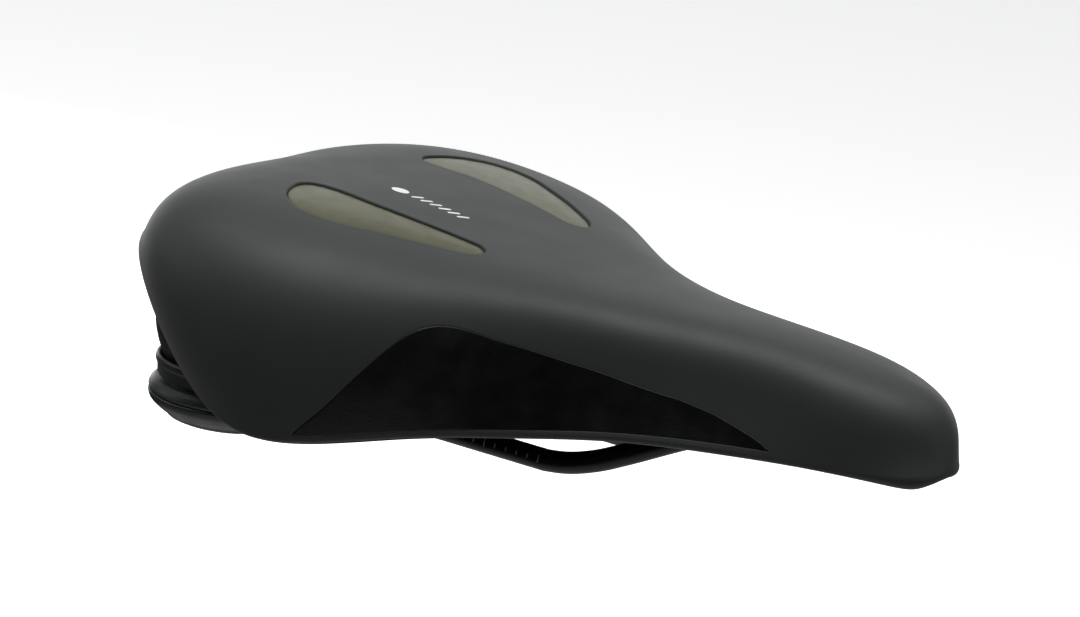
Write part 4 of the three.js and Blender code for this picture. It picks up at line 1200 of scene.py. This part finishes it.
# ------------------------------------------------------------------ nose retainer and its screws
retainer = make("nose_clamp_block", rounded_block(PIVOT_Z - RETAINER_H, PIVOT_Z, 1.0), NYLON)
cut_clamp(retainer, 64, 10, 40)
finish_cuts(retainer, 32)
place(retainer, "saddle_top", "nylon", "nose_retainer")


def socket_screw(name, x, y, head_r, head_z, head_top, shank_r, tip_z, hex_r, hex_depth, thread,
                 dome=0.0):
    """Screw pointing up; the head below carries a hex socket. thread: (from, to, pitch)."""
    socket_z = head_z + hex_depth
    chamfer = min(0.45, head_r * 0.18)
    rim_z = head_z + dome
    profile = [
        (0, socket_z), (hex_r * 0.6, socket_z), (hex_r, socket_z - 0.15), (hex_r, head_z + 0.12),
        (hex_r + 0.12, head_z),
        (head_r - chamfer - 0.05, head_z + dome * 0.2),
        (head_r - chamfer * 0.6, rim_z + chamfer * 0.12),
        (head_r - chamfer * 0.22, rim_z + chamfer * 0.45),
        (head_r, rim_z + chamfer),
        (head_r, head_top - 0.15), (head_r - 0.15, head_top),
        (shank_r + 0.2, head_top), (shank_r, head_top + 0.2),
    ]
    z, thread_end, pitch = thread
    profile.append((shank_r, z))
    root_r = shank_r - pitch * 0.45
    while z + pitch <= thread_end:
        profile += [(root_r, z + pitch * 0.35), (root_r, z + pitch * 0.5),
                    (shank_r, z + pitch * 0.88), (shank_r, z + pitch)]
        z += pitch
    profile += [(shank_r, tip_z - 0.5), (shank_r - 0.5, tip_z), (0, tip_z)]
    return make(name, lathe(profile, x, y, 48, hexed=(1, 2, 3, 4)), STEEL, 40)


nose_head_top = PIVOT_Z - RETAINER_H - FIT
for end, x in NOSE_SCREW_X.items():
    screw = socket_screw(
        f"nose_screw_{end}_detail", x, 0, head_r=3.5, head_z=nose_head_top - 2.3,
        head_top=nose_head_top, shank_r=2.0, tip_z=33.7, hex_r=1.55, hex_depth=1.3,
        thread=(24.5, 33.0, 0.8), dome=0.5)
    place(screw, "saddle_top", "steel", "nose_screw_" + end)

# ------------------------------------------------------------------ rail frame: one bent wire
SOCKET_Z, RAIL_FRONT = -6.6, 21.0
NOSE_BEND_R = 6.0
# Axis of the left rail from its straight section up to the nose: x, y, z.
RAIL_RISE = np.array([
    [RAIL_FRONT, 22, RAIL_Z], [27.5, 22, -0.1], [33, 22, 1.35], [40, 21.8, 3.9], [46.4, 21.3, 6.9],
    [53, 20.5, 10.2], [59, 19.6, 13.3], [67, 17.9, 17.3], [77, 15.7, 21.9], [86, 13.3, 25.6],
    [95, 11.3, 28.0], [103, 10.2, PIVOT_Z - 0.1], [PIVOT_X - NOSE_BEND_R, 10, PIVOT_Z],
])
to_rail_x, to_rail_y = -STRAIGHT - ELASTOMER_X, GAUGE - ELASTOMER_Y
_length = math.hypot(to_rail_x, to_rail_y)
to_rail_x, to_rail_y = to_rail_x / _length, to_rail_y / _length


def socket_axis(distance):
    """Point on the left socket's axis, at a distance from the elastomer's axis."""
    x, y = ELASTOMER_X + to_rail_x * distance, ELASTOMER_Y + to_rail_y * distance
    return np.array([x, y, SOCKET_Z])


def bezier(p0, p1, p2, p3, count):
    t = np.linspace(0, 1, count + 1)[1:, None]
    return (1 - t) ** 3 * p0 + 3 * (1 - t) ** 2 * t * p1 + 3 * (1 - t) * t**2 * p2 + t**3 * p3


def rail_path():
    straight_rear = np.array([-STRAIGHT, GAUGE, RAIL_Z])
    before_straight = np.array([-STRAIGHT - 12, GAUGE, RAIL_Z])
    bend_x, bend_y = PIVOT_X - NOSE_BEND_R, 10 - NOSE_BEND_R
    nose_bend = [
        [bend_x + NOSE_BEND_R * math.sin(a), bend_y + NOSE_BEND_R * math.cos(a), PIVOT_Z]
        for a in np.linspace(0, math.pi / 2, 13)[1:]
    ]
    path = np.vstack([
        np.linspace(socket_axis(12.6), socket_axis(37), 16),
        bezier(socket_axis(37), socket_axis(48), before_straight, straight_rear, 36),
        np.linspace(straight_rear, [RAIL_FRONT, GAUGE, RAIL_Z], 25)[1:],
        catmull(RAIL_RISE, 8, closed=False)[1:],
        nose_bend,
    ])
    # even out the rise a little, keeping the straight section and the nose bend
    free = (path[:, 0] > RAIL_FRONT + 2) & (path[:, 0] < PIVOT_X - 7)
    for _ in range(6):
        average = (np.roll(path, 1, 0) + 2 * path + np.roll(path, -1, 0)) / 4
        path[free] = average[free]
    return np.vstack([path, path[::-1] * [1, -1, 1]])


rail = make("rail_wire", sweep(rail_path(), RAIL_R, 48), RAIL_STEEL, 60)
place(rail, "rails", "rail_steel", "rail_frame")


def rail_marks(sign):
    """Short marks on the outer side of a rail, every fifth one longer."""
    build = Build()
    for i, x in enumerate(np.arange(-20, 21, 4.0)):
        start, end = (-6, 38) if i % 5 == 0 else (2, 26)
        angles = np.linspace(math.radians(start), math.radians(end), 9)
        rows = []
        for edge_x in (x - 0.18, x + 0.18):
            for r in (RAIL_R - 0.05, RAIL_R + 0.03):
                y, z = sign * (GAUGE + r * np.cos(angles)), RAIL_Z + r * np.sin(angles)
                rows.append(build.points(np.stack([np.full(9, edge_x), y, z], 1)))
        rear_low, rear_high, front_low, front_high = rows
        around = [rear_low, rear_high, front_high, front_low]
        build.loft([rear_high, front_high])
        build.loft([rear_low, rear_high])
        build.loft([front_high, front_low, rear_low])
        build.faces += [[row[k] for row in around] for k in (0, -1)]
    return build


for side, sign in SIDES:
    marks = make("rail_marks_" + side, rail_marks(sign), RAIL_PRINT, 40)
    place(marks, "rails", "rail_steel")

# ------------------------------------------------------------------ elastomers
# Rubber cup over a bead, bending between rails and top. Columns: r, z, fillet.
ELASTOMER_PROFILE = [
    (5.2, ELASTOMER_BOTTOM, 0.3), (25.9, ELASTOMER_BOTTOM, 0.4), (26.25, -0.7, 0.8),
    (25.6, 0.9, 0.8), (24.4, 1.8, 0.4), (22.3, 1.95, 0.3), (22.3, 2.95, 0.3), (23.75, 3.2, 0.35),
    (23.95, 5.0, 0.8), (24.1, 6.5, 0.4), (24.65, 7.5, 0.6), (24.65, 9.0, 0.6), (24.05, 9.85, 0.4),
    (23.45, 9.3, 0.3), (22.7, 7.0, 0.5), (22.0, 5.0, 0.5), (21.1, 2.5, 0.5), (20.6, -0.1, 0.6),
    (15.9, -0.1, 0.8), (14.7, ELASTOMER_TOP, 0.7), (5.2, ELASTOMER_TOP, 0.4),
]


def split_runs(profile, step):
    """Profile with its long straight runs split into short steps."""
    out = []
    for start, end in zip(profile, np.roll(profile, -1, 0)):
        count = max(int(np.linalg.norm(end - start) / step), 1)
        out += [start + (end - start) * k / count for k in range(count)]
    return out


for side, sign in SIDES:
    profile = split_runs(rounded(ELASTOMER_PROFILE, 5), 1.0)
    cup = lathe(profile, ELASTOMER_X, ELASTOMER_Y * sign, 112)
    elastomer = make("elastomer_rubber_" + side, cup, RUBBER, 70)
    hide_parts("elastomer_" + side)
    axis = ((ELASTOMER_X + DATUM_X) * MM, ELASTOMER_Y * sign * MM)
    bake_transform(elastomer)

# ------------------------------------------------------------------ lower seats and their hardware
SEAT_TOP = -2.05
SEAT_PROFILE = [  # r, z, fillet
    (4.6, SEAT_TOP, 0.3), (25.9, SEAT_TOP, 0.35), (26.25, -2.6, 0.6), (25.95, -3.6, 1.0),
    (25.65, -4.4, 1.0), (25.0, -5.2, 1.0), (24.0, -6.1, 1.0), (22.9, -7.0, 0.8), (21.6, -7.9, 0.8),
    (20.3, -8.75, 0.6), (19.7, -9.6, 0.8), (17.9, -10.3, 0.8), (9.5, -10.3, 0.5), (9.5, -5.0, 0.4),
    (4.6, -5.0, 0.3),
]
SEAT_WELL = [(0, -14), (9.5, -14), (9.5, -5), (4.6, -5), (4.6, 0), (0, 0)]
# Socket tube: distance from the elastomer's axis, radius.
SOCKET_TUBE = np.array([
    [11.6, 5.0], [16, 5.15], [22, 5.1], [27, 5.0], [31, 5.0], [33.6, 5.0], [34.6, 4.8], [35, 4.5],
])
SET_SCREW_TOP = SOCKET_Z - 3.8
SET_SCREW = [  # r, z; rows 1 to 4 are the hex socket
    (0, -12.2), (0.5, -12.2), (0.8, -12.3), (0.8, -13.3), (0.9, -13.4), (1.1, -13.4), (1.6, -12.9),
    (1.6, SOCKET_Z - 4.2), (1.1, SET_SCREW_TOP), (0, SET_SCREW_TOP),
]
WASHER = [(3.3, -6.7, 0.15), (8.4, -6.7, 0.3), (8.4, -5.3, 0.3), (3.3, -5.3, 0.15)]


def insert_profile():
    """Brass sleeve with grooves round its outside."""
    z, pitch = 16.1, 1.9
    profile = [(3.3, z), (3.8, z), (3.9, 16.3)]
    while z < 27.0:
        profile += [(3.9, z + 1.2), (3.72, z + 1.4), (3.72, z + 1.7), (3.9, z + pitch)]
        z += pitch
    return profile + [(3.9, 28.0), (3.8, 28.2), (3.3, 28.2)]


def lower_seat(side, sign):
    """Dish under an elastomer, with the socket of a rail end."""
    axis = (ELASTOMER_X, ELASTOMER_Y * sign)

    def on_axis(*distances):
        return np.array([socket_axis(distance) * [1, sign, 1] for distance in distances])

    seat = make("rail_seat_" + side, lathe(rounded(SEAT_PROFILE, 5), *axis, 112), NYLON)
    boolean(seat, "UNION", sweep(on_axis(*SOCKET_TUBE[:, 0]), SOCKET_TUBE[:, 1], 56))
    boolean(seat, "DIFFERENCE", rod(27, SEAT_TOP, 6, *axis, 112))
    boolean(seat, "DIFFERENCE", sweep(on_axis(12.3, 25, 42), RAIL_R + FIT, 56))
    boolean(seat, "DIFFERENCE", lathe(SEAT_WELL, *axis, 64))
    x, y, _ = on_axis(30)[0]
    boolean(seat, "DIFFERENCE", rod(1.9, -20, SOCKET_Z - 3, x, y, 32))
    finish_cuts(seat, 30)
    place(seat, "rails", "nylon", "lower_seat_" + side)
    turned = lathe(SET_SCREW, x, y, 48, hexed=(1, 2, 3, 4))
    set_screw = make("rail_set_screw_" + side, turned, STEEL, 40)
    place(set_screw, "rails", "steel", "rail_end_screw_" + side)


for side, sign in SIDES:
    axis = (ELASTOMER_X, ELASTOMER_Y * sign)
    lower_seat(side, sign)
    bolt = socket_screw(
        "suspension_bolt_" + side, *axis, head_r=5.2, head_z=-10.1, head_top=-7.0, shank_r=3.0,
        tip_z=27.4, hex_r=2.3, hex_depth=2.1, thread=(16.0, 26.6, 1.0))
    place(bolt, "saddle_top", "steel", "elastomer_bolt_" + side)
    washer = make("plain_washer_" + side, lathe(rounded(WASHER, 4), *axis, 72), STEEL, 60)
    place(washer, "saddle_top", "steel", "bolt_washer_" + side)
    insert = make("brass_insert_" + side, lathe(insert_profile(), *axis, 56), BRASS, 40)
    place(insert, "saddle_top", "brass", "threaded_insert_" + side)


# ------------------------------------------------------------------ printed motif on the top
def oval(x, y, radius_x, radius_y):
    t = np.linspace(0, 2 * math.pi, 41)[:-1]
    return np.stack([x + radius_x * np.cos(t), y + radius_y * np.sin(t)], 1)


def bar(start, end, width=1.15):
    """Round-ended bar."""
    start, end = np.array(start, float), np.array(end, float)
    along = (end - start) / np.linalg.norm(end - start)
    across = np.array([-along[1], along[0]]) * width / 2
    points = []
    for centre, first in ((end, -math.pi / 2), (start, math.pi / 2)):
        for k in range(7):
            a = first + math.pi * k / 6
            points.append(centre + along * (width / 2) * math.cos(a) + across * math.sin(a))
    return np.array(points)


def film(outlines):
    """Thin film on the right half of the top, from closed outlines seen from above."""
    build = Build()
    for outline in outlines:
        outline = resample(outline, 0.35)
        uv = from_xy(outline * [1, -1])
        bottom, top = (build.points(on_cover(uv, h) * [1, -1, 1]) for h in (-0.02, 0.035))
        build.strip(bottom, top, closed=True)
        vectors = [Vector((float(x), float(y))) for x, y in outline]
        edges = [(i, (i + 1) % len(outline)) for i in range(len(outline))]
        made = delaunay_2d_cdt(vectors, edges, [], 1, 1e-9)
        source = [origin[0] for origin in made[3]]
        for face in made[2]:
            build.faces.append([top[source[i]] for i in face])
            build.faces.append([bottom[source[i]] for i in face][::-1])
    return build


motif = [oval(-51.5, -9.9, 3.1, 2.2)]
for x in np.arange(-45.5, -24.0, 3.6):
    slant = 0.03 * (x + 45)
    motif.append(bar((x, -11.5 - slant), (x + 1.9, -9.0 - slant)))
place(make("top_motif", film(motif), WHITE_PRINT, 60), "saddle_top", "cover_skin")

# ------------------------------------------------------------------ floor, in metres from here on
FLOOR_Z = -0.2876
FLOOR_GLOW = 0.62  # light added where the camera sees the floor
FLOOR_NEAR, FLOOR_FAR = 0.6, 0.02  # brightness for other rays, near the middle and far out


def floor_material():
    """One look for the camera, a darker one for other rays, and nothing from below."""
    shader = Shader("floor")
    color = shader.mix(shader.noise(6, 2), (0.90, 0.90, 0.895), (0.93, 0.93, 0.925))
    shader.set({"Base Color": color, "Roughness": 0.9, "Specular IOR Level": 0.1})
    glow = shader.node("Emission", {"Color": (1, 1, 1, 1), "Strength": FLOOR_GLOW})
    # painted pool of light: for rays other than the camera's the floor's colour is bright near the
    # middle and fades to dark far out, standing in for the light the floor throws back
    dim = shader.node("BsdfDiffuse")
    distance = shader.node("VectorMath", {0: shader.coords}, operation="LENGTH")
    level = shader.ramp(distance.outputs["Value"], 0.20, 0.60, FLOOR_NEAR, FLOOR_FAR)
    feed(shader.tree, dim, {"Color": shader.mix(level, (0, 0, 0), (1, 1, 1))})
    camera_ray = shader.node("LightPath").outputs["Is Camera Ray"]
    backfacing = shader.node("NewGeometry").outputs["Backfacing"]
    clear = shader.node("BsdfTransparent")
    seen = shader.node("AddShader", {0: shader.principled.outputs[0], 1: glow.outputs[0]})
    above = shader.node("MixShader", {0: camera_ray, 1: dim.outputs[0], 2: seen.outputs[0]})
    both = shader.node("MixShader", {0: backfacing, 1: above.outputs[0], 2: clear.outputs[0]})
    feed(shader.tree, shader.output, {0: both.outputs[0]})
    return shader.material


work = bmesh.new()
bmesh.ops.create_grid(work, x_segments=8, y_segments=8, size=12)
floor_mesh = bpy.data.meshes.new("floor")
work.to_mesh(floor_mesh)
work.free()
floor = bpy.data.objects.new("floor", floor_mesh)
floor.location.z = FLOOR_Z
floor_mesh.materials.append(floor_material())
bpy.context.scene.collection.objects.link(floor)


# ------------------------------------------------------------------ world
def studio_world():
    """White to the camera; a soft light that grows upwards to everything else."""
    world = bpy.data.worlds.new("studio")
    bpy.context.scene.world = world
    world.use_nodes = True
    tree = world.node_tree
    tree.nodes.clear()
    output = add_node(tree, "OutputWorld")
    seen = add_node(tree, "Background", {"Color": (1, 1, 1, 1), "Strength": 1.0})
    light = add_node(tree, "Background", {"Color": (0.97, 0.99, 1.0, 1)})
    coords = add_node(tree, "TexCoord")
    split = add_node(tree, "SeparateXYZ", {0: coords.outputs["Generated"]})
    level = add_node(tree, "MapRange", {
        "From Min": 0.1, "From Max": 0.9, "To Min": 0.012, "To Max": 0.30,
        "Value": split.outputs["Z"],
    })
    feed(tree, light, {"Strength": level.outputs[0]})
    camera_ray = add_node(tree, "LightPath").outputs["Is Camera Ray"]
    mixed = add_node(tree, "MixShader", {0: camera_ray, 1: light.outputs[0], 2: seen.outputs[0]})
    feed(tree, output, {0: mixed.outputs[0]})


studio_world()

# ------------------------------------------------------------------ lights
# Laid out round the middle of the rails' straight section.
LIGHT_ORIGIN = Vector((DATUM_X * MM, 0, (DATUM_Z + RAIL_Z) * MM))
LIGHTS = [  # name, place, aimed at, width, height, power in watts
    ("softbox_top", (0.02, -0.22, 1.25), (0.0, 0.0, 0.0), 1.5, 1.2, 24),
    ("strip_back", (-0.2, 1.3, 0.38), (0.0, 0.0, 0.03), 1.8, 0.7, 4.5),
    ("fill_left", (-1.25, -0.55, 0.45), (-0.08, 0.0, 0.03), 0.8, 0.7, 1.7),
    ("fill_nose", (1.35, 0.15, 0.05), (0.1, 0.0, 0.03), 0.8, 0.6, 2.0),
    ("rim_left", (-1.1, 0.75, 0.06), (-0.085, -0.044, 0.0), 0.7, 0.5, 3),
]
for name, location, target, width, height, power in LIGHTS:
    light = bpy.data.lights.new(name, "AREA")
    light.shape, light.size, light.size_y, light.energy = "RECTANGLE", width, height, power
    lamp = bpy.data.objects.new(name, light)
    lamp.location = Vector(location) + LIGHT_ORIGIN
    lamp.rotation_mode = "QUATERNION"
    lamp.rotation_quaternion = (Vector(target) - Vector(location)).to_track_quat("-Z", "Y")
    bpy.context.scene.collection.objects.link(lamp)

# ------------------------------------------------------------------ camera
AZIMUTH, ELEVATION, ROLL = math.radians(30.7), math.radians(14.7), math.radians(7.1)
CAMERA_TARGET, CAMERA_DISTANCE = (-0.0015, 0.0, 0.0484), 1.287
backward = Vector((
    math.sin(AZIMUTH) * math.cos(ELEVATION),
    -math.cos(AZIMUTH) * math.cos(ELEVATION),
    math.sin(ELEVATION),
))
level_right = Vector((math.cos(AZIMUTH), math.sin(AZIMUTH), 0))
level_up = backward.cross(level_right)
right = level_right * math.cos(ROLL) + level_up * math.sin(ROLL)
up = -level_right * math.sin(ROLL) + level_up * math.cos(ROLL)
lens = bpy.data.cameras.new("camera")
lens.lens, lens.sensor_width = 137.66, 36
lens.shift_x, lens.shift_y = -0.0288, 0.0194
lens.clip_start, lens.clip_end = 0.05, 60
camera = bpy.data.objects.new("camera", lens)
camera.matrix_world = Matrix([
    *((right[k], up[k], backward[k], CAMERA_TARGET[k] + backward[k] * CAMERA_DISTANCE)
      for k in range(3)),
    (0, 0, 0, 1),
])
bpy.context.scene.collection.objects.link(camera)
bpy.context.scene.camera = camera
bpy.context.scene.view_settings.view_transform = "Standard"
